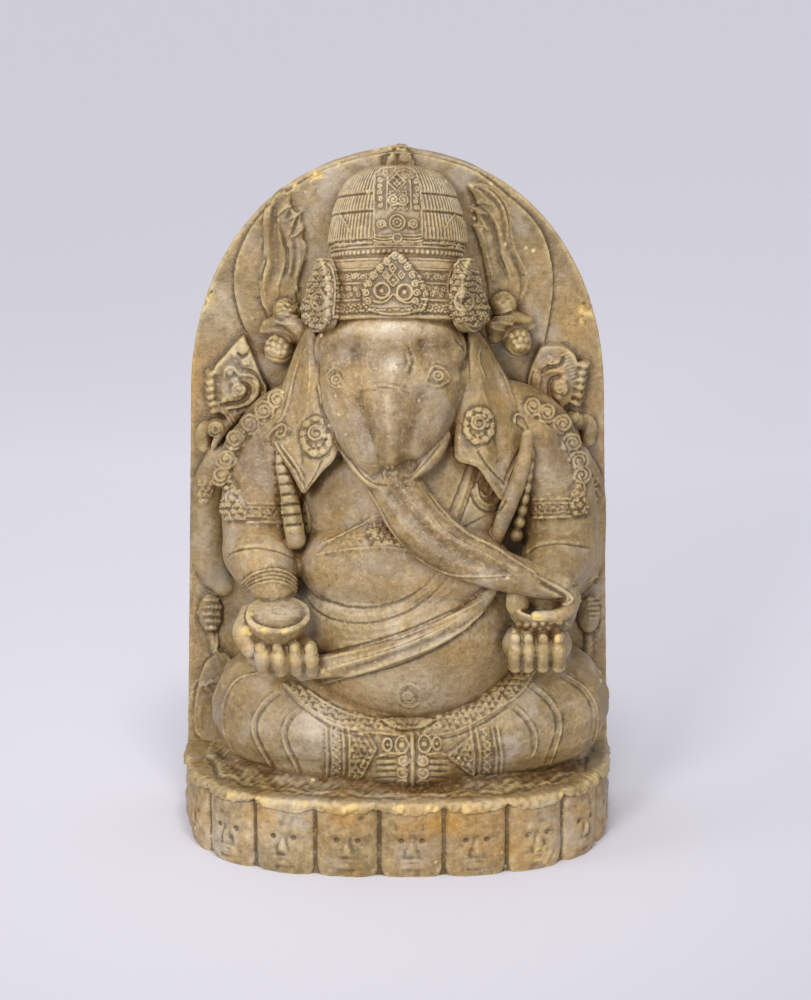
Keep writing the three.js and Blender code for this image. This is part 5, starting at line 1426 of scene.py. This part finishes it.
def crown_space(points):
    """Places on the crown's own upright axes: across, forward of its middle and up from its foot."""
    away = points - np.array(CROWN_PLACE)
    c, s = math.cos(CROWN_LEAN), math.sin(CROWN_LEAN)
    return np.stack([away[:, 0], -(away[:, 1] * c - away[:, 2] * s), away[:, 1] * s + away[:, 2] * c], 1)


def round_crown(points):
    """A drawing that wraps round the crown: millimetres along its girth from the front, and up."""
    across, forward, up = crown_space(points).T
    return np.stack([np.arctan2(across, forward / 0.7) * CROWN_GIRTH, up], 1)


def crown_rings(profile, flatness, sides=96):
    """A round or oval form of (radius, height) rings on the crown's axis."""
    turns = np.arange(sides) * 2 * math.pi / sides
    rings = []
    for radius, height in profile:
        up = np.full(sides, float(height))
        rings.append(np.stack([radius * np.cos(turns), radius * flatness * np.sin(turns), up], 1))
    return stacked(rings)


def on_crown(piece, push=0.0):
    piece.rotation_euler = (-CROWN_LEAN, 0, 0)
    piece.location = [(CROWN_PLACE[0] + push) * MM, CROWN_PLACE[1] * MM, CROWN_PLACE[2] * MM]
    return settled(piece)


def crown_leaf(outline, turn, reach, thick):
    """A pointed plaque of an outline (across, up) against the diadem, turned round the crown."""
    piece = plate(curved(outline, 4, True), -thick, 0)
    turn = math.radians(turn)
    points = places(piece)
    bulge = 1 - (points[:, 0] / 24) ** 2
    points[:, 1] -= np.clip(bulge, 0, 1) * 1.5 * (points[:, 1] < -1)
    points[:, 1] -= reach
    c, s = math.cos(turn), math.sin(turn)
    x, y, z = points.T
    put(piece, np.stack([x * c - y * s, x * s + y * c, z], 1))
    return on_crown(piece)


MIDDLE_PLAQUE = drawn(395, 250, 388, 255.5, 380, 263, 374, 270, 368, 279, 363, 288.5, 362, 298.5,
    368.5, 307.5, 381, 309, 395, 308.5, 409.5, 308.5, 420, 301.5, 420.5, 288.5, 417, 276, 413.5, 268.5,
    408, 260, 401.5, 254.5)
LEFT_PLAQUE = drawn(325, 264, 314, 273.5, 305.5, 286, 301, 301.5, 302.5, 321, 315.5, 329.5, 325, 328.5,
    332, 318, 334, 288.5, 332, 272)
RIGHT_PLAQUE = drawn(461, 263, 453, 270.5, 448.5, 281.5, 448.5, 291.5, 450, 315.5, 464, 325, 476.5, 329.5,
    489, 319.5, 491, 300, 485, 290, 476.5, 283, 468, 270.5)
HAIR_PANEL = drawn(373, 246, 374, 218.5, 373.5, 196, 374.5, 176.5, 380, 170, 388, 169, 399.5, 168,
    409.5, 169, 417, 173.5, 420, 186.5, 422, 201.5, 423, 246)


def tall_crown():
    cap = [(44.5 * math.cos(a) ** 0.5, 30 + 63 * math.sin(a)) for a in np.linspace(0, 1.45, 22)]
    front = drawn(0, 33, -5, 28.5, -10, 23.5, -15, 18, -19, 10, -20, 3, -16, -4, 0, -6, 16, -4, 20, 3,
        19, 10, 15, 18, 10, 23.5, 5, 28.5)
    side = drawn(3, 31, -6, 25, -12, 15, -14.5, 2, -13, -10, -2, -15, 11, -11, 15, 2, 14, 15, 9, 25)
    parts = [
        on_crown(crown_rings([(40, 0), (46, 30)] + cap + [(1, 93)], 33 / 45), 1.5),
        on_crown(crown_rings(drawn(52, -9, 57, -7.5, 59.5, -4, 59.5, 2, 57.5, 10, 54, 18, 51, 24,
            49, 28.5, 47.5, 31, 42, 31.5), 0.7)),
        crown_leaf(front, 0, 38, 4.5),
        crown_leaf(side, -62, 47, 7),
        crown_leaf([(-x, z) for x, z in side], 62, 47, 7),
    ]
    for part in parts:
        cut_behind(part)
    piece = joined(parts, "tall_crown")
    fused(piece, mesh_width(0.52))
    eased(piece, 3)
    work = Carving(piece)
    hair_panel(work)
    diadem_plaques(work)
    work.draw_on(round_crown(work.points), 1.0, [MIDDLE_PLAQUE, LEFT_PLAQUE, RIGHT_PLAQUE, HAIR_PANEL])
    diadem_rows(work)
    hair_strands(work)
    work.lay()
    return thinned(piece, CROWN_TRIANGLES)


def hair_strands(work):
    """The piled hair: three tiers of fine upright strands, each tier's ends lying over the next."""
    girth, up = work.at.T
    swept = girth / CROWN_GIRTH * HAIR_STRANDS / (2 * math.pi)
    ridge = 0.5 + 0.5 * np.cos(2 * math.pi * swept)
    hair = np.zeros(len(up), bool)
    hair[work.shown] = True
    hair &= (up > 42) & (up < 92)
    for low, high in ((42, 60.5), (60.5, 72), (72, 93)):
        share = (up - low) / (high - low)
        here = hair & (share > 0) & (share <= 1)
        lip = np.clip(share / 0.1, 0, 1) ** 0.5
        body = (0.95 * ridge**0.8 + 1.1 * (1 - share)) * lip
        work.lift(np.nonzero(here)[0], body[here])
        edge = hair & (np.abs(up - low) < 0.9)
        work.sink(np.nonzero(edge)[0], (1.0 * (1 - np.abs(up - low) / 0.9))[edge])


def diadem_rows(work):
    """The bands round the diadem, from its plain top band down to its hem."""
    span = 66
    for height, width, lift in ((29.8, 1.6, 1.0), (23.0, 1.5, 1.2), (14.0, 1.5, 1.3), (3.3, 1.6, 1.3),
            (-6.6, 2.4, 1.5)):
        work.cord([(-span, height), (span, height)], width, lift, smooth=False)
    work.field([(-span, 23), (span, 23), (span, 29.5), (-span, 29.5)], 0.6, 1.6)
    for i, x in enumerate(np.arange(-62, 63, 5.4)):
        way = 1 if i % 2 else -1
        work.whorl((x, 18.5), 2.5, 1.3, i * 0.9, way, 1.2)
        work.bead((x + 2.7, 17.2), 0.8, 1.0)
        work.bead((x + 2.7, 20.2), 0.7, 0.9)
    for i, x in enumerate(np.arange(-62, 63, 5.0)):
        way = 1 if i % 2 else -1
        work.whorl((x, 10.6), 2.2, 1.2, i * 1.7, way, 1.2)
        work.whorl((x + 2.5, 6.6), 2.2, 1.2, i * 2.3 + 1, -way, 1.2)
    for i, x in enumerate(np.arange(-62, 63, 6.0)):
        work.floret((x, -1.6), 2.8, 6, 1.2)
        work.bead((x + 3, -3.4), 0.9, 1.0)
        work.bead((x + 3, 0.6), 0.8, 1.0)
    work.beads([(-56, 34.6), (56, 34.6)], 3.7, 1.75, 1.5)
    work.cord([(-60, 37.9), (60, 37.9)], 1.3, 0.9, smooth=False)
    work.cord([(-60, 40.4), (60, 40.4)], 1.3, 1.1, smooth=False)


def hair_panel(work):
    """The upright panel on the front of the piled hair, with its scrolls, diamond and rosette."""
    work.field(HAIR_PANEL, 0.9, 1.0)
    work.cord(drawn(375, 237, 374, 218.5, 374, 196, 375, 176.5, 380, 170.5), 1.5, 1.3)
    work.cord(drawn(422.5, 237, 422, 218.5, 421.5, 201.5, 419.5, 186.5, 416.5, 174), 1.5, 1.3)
    work.cord(drawn(380, 170, 388, 168.5, 399.5, 168, 409.5, 169, 417, 173.5), 1.4, 1.2)
    work.cord(drawn(388, 178, 387.5, 189, 387, 200.5, 387, 210), 1.0, 1.0)
    work.cord(drawn(409.5, 180, 410.5, 190.5, 410.5, 201.5, 411, 210), 1.0, 1.0)
    for i in range(5):
        work.whorl((380.5, 180.5 + 6.4 * i), 2.0, 1.2, i * 1.3, 1, 1.1)
        work.whorl((416, 183 + 6.4 * i), 2.0, 1.2, i * 1.7, -1, 1.1)
    diamond = np.array(drawn(397, 175, 405, 183, 397, 191, 389, 183))
    work.field(diamond, -0.5, 0.6)
    work.cord(diamond, 1.0, 1.2, smooth=False, closed=True)
    a, b, c, d = diamond
    for share in (0.35, 0.68):
        work.cord([a + (b - a) * share, d + (c - d) * share], 0.7, 1.0, smooth=False)
        work.cord([a + (d - a) * share, b + (c - b) * share], 0.7, 1.0, smooth=False)
    for x, y in ((385.5, 174), (408.5, 174), (397, 171.5)):
        work.floret((x, y), 1.8, 5, 1.0)
    for place, turn, way in (((393.5, 200.5), 0.6, 1), ((403, 200.5), 2.5, -1)):
        work.whorl(place, 4.2, 1.8, turn, way, 1.4)
    for x, y in drawn(392, 194, 404.5, 194, 398, 194, 398, 207.5, 392, 208.5, 404.5, 208.5):
        work.floret((x, y), 1.9, 5, 1.1)
    work.ring((397.2, 223), 4.8, 1.2, 1.4)
    work.floret((397.2, 223), 3.3, 8, 1.3)
    work.whorl((381.4, 225.2), 3.7, 1.9, 0.4, -1, 1.3)
    work.whorl((413, 225), 3.7, 1.9, 2.7, 1, 1.3)
    left_swag = drawn(368.5, 232, 377, 235.5, 385.5, 236.5, 392, 235.5)
    right_swag = drawn(403.5, 235.5, 413.5, 236, 420.5, 235, 429, 232)
    for shift in (0, 3.2, 6.2):
        for swag in (left_swag, right_swag):
            work.cord([(x, y + shift) for x, y in swag], 1.1, 1.1)
    work.ring((397.4, 238.3), 2.7, 1.0, 1.3)
    work.tendrils(drawn(337.5, 210, 345.5, 218.5, 351, 228.5, 353, 244, 346, 247.5, 333.5, 251,
        332, 235.5, 334, 221.5), 4.0, 1.2, 3, 0.7)
    work.cord(drawn(340, 213, 345.5, 221.5, 350.5, 230, 353.5, 240.5), 1.2, 1.6)
    work.tendrils(drawn(356, 227, 366, 225.5, 372, 230, 368.5, 237, 368, 244.5, 356, 246),
        3.6, 1.1, 4, 0.5)
    work.tendrils(drawn(453.5, 213, 445, 223, 442, 231, 438.5, 245, 451.5, 250, 464, 253, 466, 238,
        464.5, 223), 4.0, 1.2, 5, 0.7)
    work.cord(drawn(453.5, 214.5, 447, 223, 443, 230), 1.2, 1.6)
    work.tendrils(drawn(425.5, 227, 438.5, 227, 442, 231, 438.5, 244.5, 424.5, 241.5, 422, 235.5),
        3.6, 1.1, 6, 0.5)


def diadem_plaques(work):
    """The pointed plaques of the diadem: the tall one in the middle and one over each temple."""
    work.field(MIDDLE_PLAQUE, 0.8, 1.0)
    for i, (x, y) in enumerate(drawn(395, 256, 388, 262, 381, 268.5, 375, 276, 369.5, 284.5, 366, 293.5,
            368, 302, 402.5, 260, 408, 267.5, 412.5, 275.5, 415.5, 284, 416.5, 293.5, 414.5, 301.5)):
        work.whorl((x, y), 2.9, 1.4, 0.6 * i, 1 if i < 7 else -1, 1.6)
    for x, y in [(382, 291), (404.5, 292.5)]:
        work.hole((x, y), 3.4, 1.6)
        work.ring((x, y), 4.9, 2.0, 1.9)
        work.bead((x, y), 1.9, 2.2)
    for shape in (drawn(392.5, 263.5, 396, 268.5, 393, 273.5, 389, 268.5),
            drawn(393, 274, 399, 280.5, 393, 287, 387.5, 280.5),
            drawn(401, 271, 405, 275, 401.5, 279.5, 398, 275), drawn(385.5, 271.5, 389, 275.5, 386, 279.5,
            382.5, 275.5)):
        work.cord(shape, 1.1, 1.7, smooth=False, closed=True)
        work.bead(np.mean(shape, 0), 1.2, 1.3)
    work.cord(drawn(374, 301.5, 381, 303, 388, 300, 393.5, 294.5, 398.5, 300, 406.5, 303, 412.5, 301.5),
        1.7, 1.7)
    work.tendrils(LEFT_PLAQUE, 4.4, 1.5, 7, 0.8)
    work.tendrils(RIGHT_PLAQUE, 4.4, 1.5, 8, 0.8)
    work.cord(drawn(327, 265, 332, 271, 334.5, 288.5, 333, 314), 1.6, 1.5)
    work.cord(drawn(459.5, 263.5, 451.5, 271, 448, 281.5, 447.5, 291.5, 450, 307.5), 1.6, 1.5)
    for place in ((463.5, 301.5), (321, 301.5)):
        work.hole(place, 3.0, 2.6)
        work.ring(place, 4.6, 1.7, 1.9, 1.25)


def neighbours(piece):
    flat = np.empty(len(piece.data.edges) * 2, np.int32)
    piece.data.edges.foreach_get("vertices", flat)
    return flat.reshape(-1, 2)


def averaged(values, edges, counts, times):
    """Values spread over the surface along its edges."""
    for _ in range(times):
        total = values.copy()
        for k in range(values.shape[1]):
            total[:, k] += np.bincount(edges[:, 0], values[edges[:, 1], k], len(values))
            total[:, k] += np.bincount(edges[:, 1], values[edges[:, 0], k], len(values))
        values = total / (counts + 1)[:, None]
    return values


def written(piece, name, values):
    made = piece.data.attributes.new(name, "FLOAT", "POINT")
    made.data.foreach_set("value", values.astype(np.float32))


def carved_share(points):
    """1 where the cast is carved, 0 on its flat back and on the plain wall beside the slab."""
    beside = rise(points[:, 1], 4, 16) * rise(-points[:, 2], -53, -49)
    return (1 - beside) * (1 - rise(points[:, 1], 76, 82))


def surface_marks(piece):
    """Writes how hollow and how proud each point lies, at the scale of the carving and of the limbs."""
    points = places(piece)
    out = facings(piece)
    edges = neighbours(piece)
    counts = np.bincount(edges.ravel(), minlength=len(points)).astype(float)
    fine = averaged(points, edges, counts, 4)
    broad = averaged(fine, edges, counts, 22)
    spans = np.linalg.norm(points[edges[:, 0]] - points[edges[:, 1]], axis=1)
    span = np.bincount(edges[:, 0], spans, len(points)) + np.bincount(edges[:, 1], spans, len(points))
    coarse = np.maximum(1, span / counts.clip(1) / 0.9) ** 2
    small = ((fine - points) * out).sum(1) / coarse
    large = ((broad - points) * out).sum(1) / coarse
    large -= averaged(large[:, None], edges, counts, 40)[:, 0]
    both = averaged((small * 3.0 + large * 0.8)[:, None], edges, counts, 1)[:, 0]
    both *= carved_share(points)
    written(piece, "hollow", np.clip(both, 0, 1.5))
    written(piece, "proud", np.clip(-both, 0, 1.5))
    written(piece, "high", points[:, 2])
    written(piece, "fresh", np.clip(knocked(points)[0] * 2.5, 0, 1))
    # The brown patches hold brown wax and painted shade, the pale ones rubbed stone and painted highlights,
    # the ochre ones ochre.
    for name, stains in (("brown", BROWN_WAX_AND_SHADE), ("pale", PALE_STONE_AND_HIGHLIGHTS), ("ochre", OCHRE)):
        at = seen(points)
        share = np.zeros(len(points))
        for x, y, wide, tall, much in stains:
            share += much * np.exp(-(((at[:, 0] - x) / wide) ** 2) - ((at[:, 1] - y) / tall) ** 2)
        written(piece, name, np.clip(share, 0, 1) * np.clip((62 - points[:, 1]) / 12, 0, 1))


def crowd(pieces):
    """Writes how much of the cast stands close in front of each point, for brown wax left there and painted
    shade.
    """
    cell = 3.0
    low = np.array([-150.0, -95.0, -6.0])
    size = (100, 64, 158)
    filled = np.zeros(size, bool)
    for piece in pieces:
        index = ((places(piece) - low) / cell).astype(int)
        index = np.clip(index, 0, np.array(size) - 1)
        filled[tuple(index.T)] = True
    thick = filled.astype(float)
    for axis in (0, 1, 2):
        for _ in range(2):
            thick = (thick + np.roll(thick, 1, axis) + np.roll(thick, -1, axis)) / 3
    for piece in pieces:
        ahead = places(piece) + facings(piece) * 6
        index = np.clip(((ahead - low) / cell).astype(int), 0, np.array(size) - 1)
        near = thick[tuple(index.T)]
        edges = neighbours(piece)
        counts = np.bincount(edges.ravel(), minlength=len(near)).astype(float)
        written(piece, "recess_wax_and_shade", averaged(near[:, None], edges, counts, 8)[:,
            0] * carved_share(places(piece)))


def paint(red, green, blue):
    """A colour as it looks on a screen, 0 to 255, for a shader."""
    return tuple(((c / 255 + 0.055) / 1.055) ** 2.4 for c in (red, green, blue)) + (1,)


class Finish:
    """One material and short ways to add its nodes."""

    def __init__(self, name):
        self.made = bpy.data.materials.new(name)
        self.made.use_nodes = True
        self.nodes = self.made.node_tree.nodes
        self.links = self.made.node_tree.links
        self.shader = self.nodes["Principled BSDF"]
        self.coordinates = self.nodes.new("ShaderNodeTexCoord").outputs["Object"]
        self.colour = None

    def link(self, source, socket):
        if source is not None and not isinstance(source, (int, float, tuple)):
            self.links.new(source, socket)
        elif source is not None:
            socket.default_value = source

    def noise(self, scale, detail=4, rough=0.6, twist=0.0):
        node = self.nodes.new("ShaderNodeTexNoise")
        self.links.new(self.coordinates, node.inputs["Vector"])
        node.inputs["Scale"].default_value = scale
        node.inputs["Detail"].default_value = detail
        node.inputs["Roughness"].default_value = rough
        node.inputs["Distortion"].default_value = twist
        return node.outputs["Fac"]

    def spots(self, scale):
        node = self.nodes.new("ShaderNodeTexVoronoi")
        self.links.new(self.coordinates, node.inputs["Vector"])
        node.inputs["Scale"].default_value = scale
        return node.outputs["Distance"]

    def mark(self, name):
        node = self.nodes.new("ShaderNodeAttribute")
        node.attribute_name = name
        return node.outputs["Fac"]

    def span(self, value, low, high, to_low=0.0, to_high=1.0):
        """The value's way from low to high, as a share."""
        node = self.nodes.new("ShaderNodeMapRange")
        self.link(value, node.inputs["Value"])
        for name, number in (("From Min", low), ("From Max", high), ("To Min", to_low),
                ("To Max", to_high)):
            node.inputs[name].default_value = number
        return node.outputs["Result"]

    def sum(self, how, first, second):
        node = self.nodes.new("ShaderNodeMath")
        node.operation = how
        node.use_clamp = True
        self.link(first, node.inputs[0])
        self.link(second, node.inputs[1])
        return node.outputs[0]

    def over(self, share, under, top):
        """The top colour laid over the one under it."""
        node = self.nodes.new("ShaderNodeMix")
        node.data_type = "RGBA"
        self.link(share, node.inputs["Factor"])
        self.link(under, node.inputs[MIX_UNDER])
        self.link(top, node.inputs[MIX_TOP])
        return node.outputs[MIX_RESULT]

    def coat(self, share, *screen):
        """Lays one more screen colour over what the finish has so far."""
        self.colour = self.over(share, self.colour, paint(*screen))

    def both(self, first, second):
        return self.sum("MULTIPLY", first, second)

    def rough(self, value):
        self.link(value, self.shader.inputs["Roughness"])

    def bump(self, height, strength, distance, under=None):
        node = self.nodes.new("ShaderNodeBump")
        node.inputs["Strength"].default_value = strength
        node.inputs["Distance"].default_value = distance
        self.link(height, node.inputs["Height"])
        if under is not None:
            self.links.new(under, node.inputs["Normal"])
        return node.outputs["Normal"]


def waxed_stone():
    """Stained and wax-finished cast stone: brown in the hollows, rubbed to cream on the ridges, with
    painted shade and highlights.
    """
    finish = Finish("waxed_cast_stone")
    hollow, proud, recess_wax_and_shade, high, fresh, brown, light, gold = (
        finish.mark(name) for name in ("hollow", "proud", "recess_wax_and_shade", "high", "fresh", "brown", "pale",
            "ochre")
    )
    patches = finish.noise(15, 6, 0.62, 0.5)
    clouds = finish.noise(52, 7, 0.7, 0.5)
    drift = finish.noise(27, 5, 0.65, 0.8)
    grain = finish.noise(430, 3, 0.75)
    weave = finish.noise(1100, 2, 0.6)
    finish.colour = paint(117, 96, 56)
    finish.coat(finish.span(patches, 0.38, 0.6), 140, 115, 74)
    finish.coat(finish.span(clouds, 0.45, 0.66, 0, 0.6), 153, 130, 90)
    finish.coat(finish.span(drift, 0.5, 0.64, 0, 0.75), 154, 142, 126)
    warm = finish.span(finish.noise(19, 6, 0.66, 1.0), 0.5, 0.66)
    low = finish.both(warm, finish.span(high, 54, 40, 0.35, 0.9))
    finish.coat(low, 160, 120, 56)
    rubbed = finish.both(finish.span(proud, 0.14, 0.8), finish.span(clouds, 0.38, 0.6, 0.2, 0.75))
    finish.coat(rubbed, 184, 163, 116)
    golden = finish.both(gold, finish.span(clouds, 0.34, 0.56, 0.35, 1.0))
    finish.coat(golden, 164, 121, 44)
    # Brown wax, together with painted shade and shadows such as under the belly's fold, between arm and
    # body and under the lap's flap.
    wax_and_painted_shade = finish.both(brown, finish.span(clouds, 0.34, 0.6, 0.95, 0.5))
    finish.coat(wax_and_painted_shade, 84, 62, 29)
    # Rubbed pale stone, together with painted highlights where the pale patches lie.
    bare = finish.both(light, finish.span(clouds, 0.36, 0.56, 0.35, 1.0))
    finish.coat(bare, 186, 174, 152)
    dirty = finish.both(finish.span(hollow, 0.08, 0.54), finish.span(drift, 0.3, 0.65, 0.95, 0.65))
    finish.coat(dirty, 67, 50, 26)
    # Painted shade where other parts stand close in front, together with brown wax left in those recesses.
    deep = finish.both(finish.span(recess_wax_and_shade, 0.28, 0.52), finish.span(clouds, 0.3, 0.6, 0.6, 0.92))
    finish.coat(deep, 94, 62, 26)
    wash = finish.noise(240, 7, 0.78, 0.3)
    stained = finish.both(finish.span(wash, 0.5, 0.66), finish.span(drift, 0.36, 0.6, 0.6, 0.3))
    finish.coat(stained, 80, 61, 33)
    worn = finish.both(finish.span(wash, 0.46, 0.32), finish.span(patches, 0.4, 0.6, 0.3, 0.6))
    finish.coat(worn, 189, 167, 127)
    flecks = finish.both(finish.span(grain, 0.56, 0.72), finish.span(drift, 0.4, 0.62, 0.8, 0.25))
    finish.coat(flecks, 87, 69, 42)
    frost = finish.both(finish.span(grain, 0.44, 0.3), finish.span(patches, 0.42, 0.6, 0.1, 0.5))
    finish.coat(frost, 170, 153, 120)
    pale = finish.both(finish.span(finish.spots(120), 0.2, 0.1),
        finish.span(finish.noise(34, 3), 0.57, 0.66))
    finish.coat(pale, 195, 174, 131)
    finish.coat(fresh, 191, 163, 102)
    finish.link(finish.colour, finish.shader.inputs["Base Color"])
    polish = finish.sum("ADD", finish.span(light, 0.4, 0.8, 0, 0.34),
        finish.span(brown, 0.2, 0.9, 0, 0.14))
    finish.rough(finish.sum("SUBTRACT", finish.span(clouds, 0.35, 0.65, 0.4, 0.55), polish))
    normal = finish.bump(finish.noise(170, 5, 0.7), 0.4, 0.0016)
    normal = finish.bump(grain, 0.45, 0.0009, normal)
    normal = finish.bump(weave, 0.25, 0.0005, normal)
    finish.links.new(normal, finish.shader.inputs["Normal"])
    finish.shader.inputs["Specular IOR Level"].default_value = 0.5
    return finish.made


def pale_floor():
    finish = Finish("pale_floor")
    split = finish.nodes.new("ShaderNodeSeparateXYZ")
    finish.links.new(finish.coordinates, split.inputs[0])
    # Painted light: the floor's colour runs from darker in front of the cast to paler far behind it,
    # shaping how bright the lit floor and backdrop look.
    away = finish.span(split.outputs["Y"], -0.3, 1.0)
    colour = finish.over(away, (0.535, 0.523, 0.573, 1), (0.89, 0.87, 0.955, 1))
    finish.link(colour, finish.shader.inputs["Base Color"])
    finish.rough(finish.span(finish.noise(0.9, 3, 0.5), 0.3, 0.7, 0.78, 0.9))
    return finish.made


def studio():
    camera = bpy.data.cameras.new("camera")
    camera.lens = 107.48
    camera.shift_x = 0.008
    holder = bpy.data.objects.new("camera", camera)
    bpy.context.collection.objects.link(holder)
    holder.location = EYE * MM
    holder.rotation_euler = (math.radians(90) - EYE_FALL, 0, 0)
    bpy.context.scene.camera = holder
    let_go()
    bpy.ops.mesh.primitive_plane_add(size=40)
    floor = bpy.context.object
    floor.name = "pale_floor"
    floor.data.materials.append(pale_floor())
    for name, place, target, energy, size in (
        ("key_light", (-0.5, -1.4, 0.85), (0, 0, 0.2), 2.3, 0.36),
        ("low_light", (0.35, -1.65, 0.34), (0, 0, 0.1), 1.5, 0.7),
        ("side_light", (-1.5, -0.6, 0.9), (0, 0, 0.22), 1.2, 0.8),
        ("top_light", (0.05, -0.62, 1.5), (0, -0.05, 0.3), 1.1, 0.22),
    ):
        light = bpy.data.lights.new(name, "AREA")
        light.energy = energy
        light.size = size
        light.spread = math.radians(70)
        lamp = bpy.data.objects.new(name, light)
        bpy.context.collection.objects.link(lamp)
        lamp.location = place
        aim = Vector(target) - Vector(place)
        lamp.rotation_euler = aim.to_track_quat("-Z", "Y").to_euler()
    world = bpy.data.worlds.new("studio")
    bpy.context.scene.world = world
    world.use_nodes = True
    world.node_tree.nodes["Background"].inputs[0].default_value = (0.98, 0.98, 1.0, 1)
    world.node_tree.nodes["Background"].inputs[1].default_value = 0.71
    bpy.context.scene.view_settings.view_transform = "Standard"


box_limits = [[c / MM for c in corner] for corner in cad_box]
studio()
stone = waxed_stone()
pieces = [carved_slab(), skull_plinth(), crossed_legs(), seated_body(), elephant_head(), tall_crown()]
for piece in pieces:
    piece.data.materials.clear()
    piece.data.materials.append(stone)
    piece.data.polygons.foreach_set("use_smooth", [True] * len(piece.data.polygons))
    put(piece, np.clip(places(piece), *box_limits))
    surface_marks(piece)
    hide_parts(NODE)
    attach(piece, "root")
crowd(pieces)
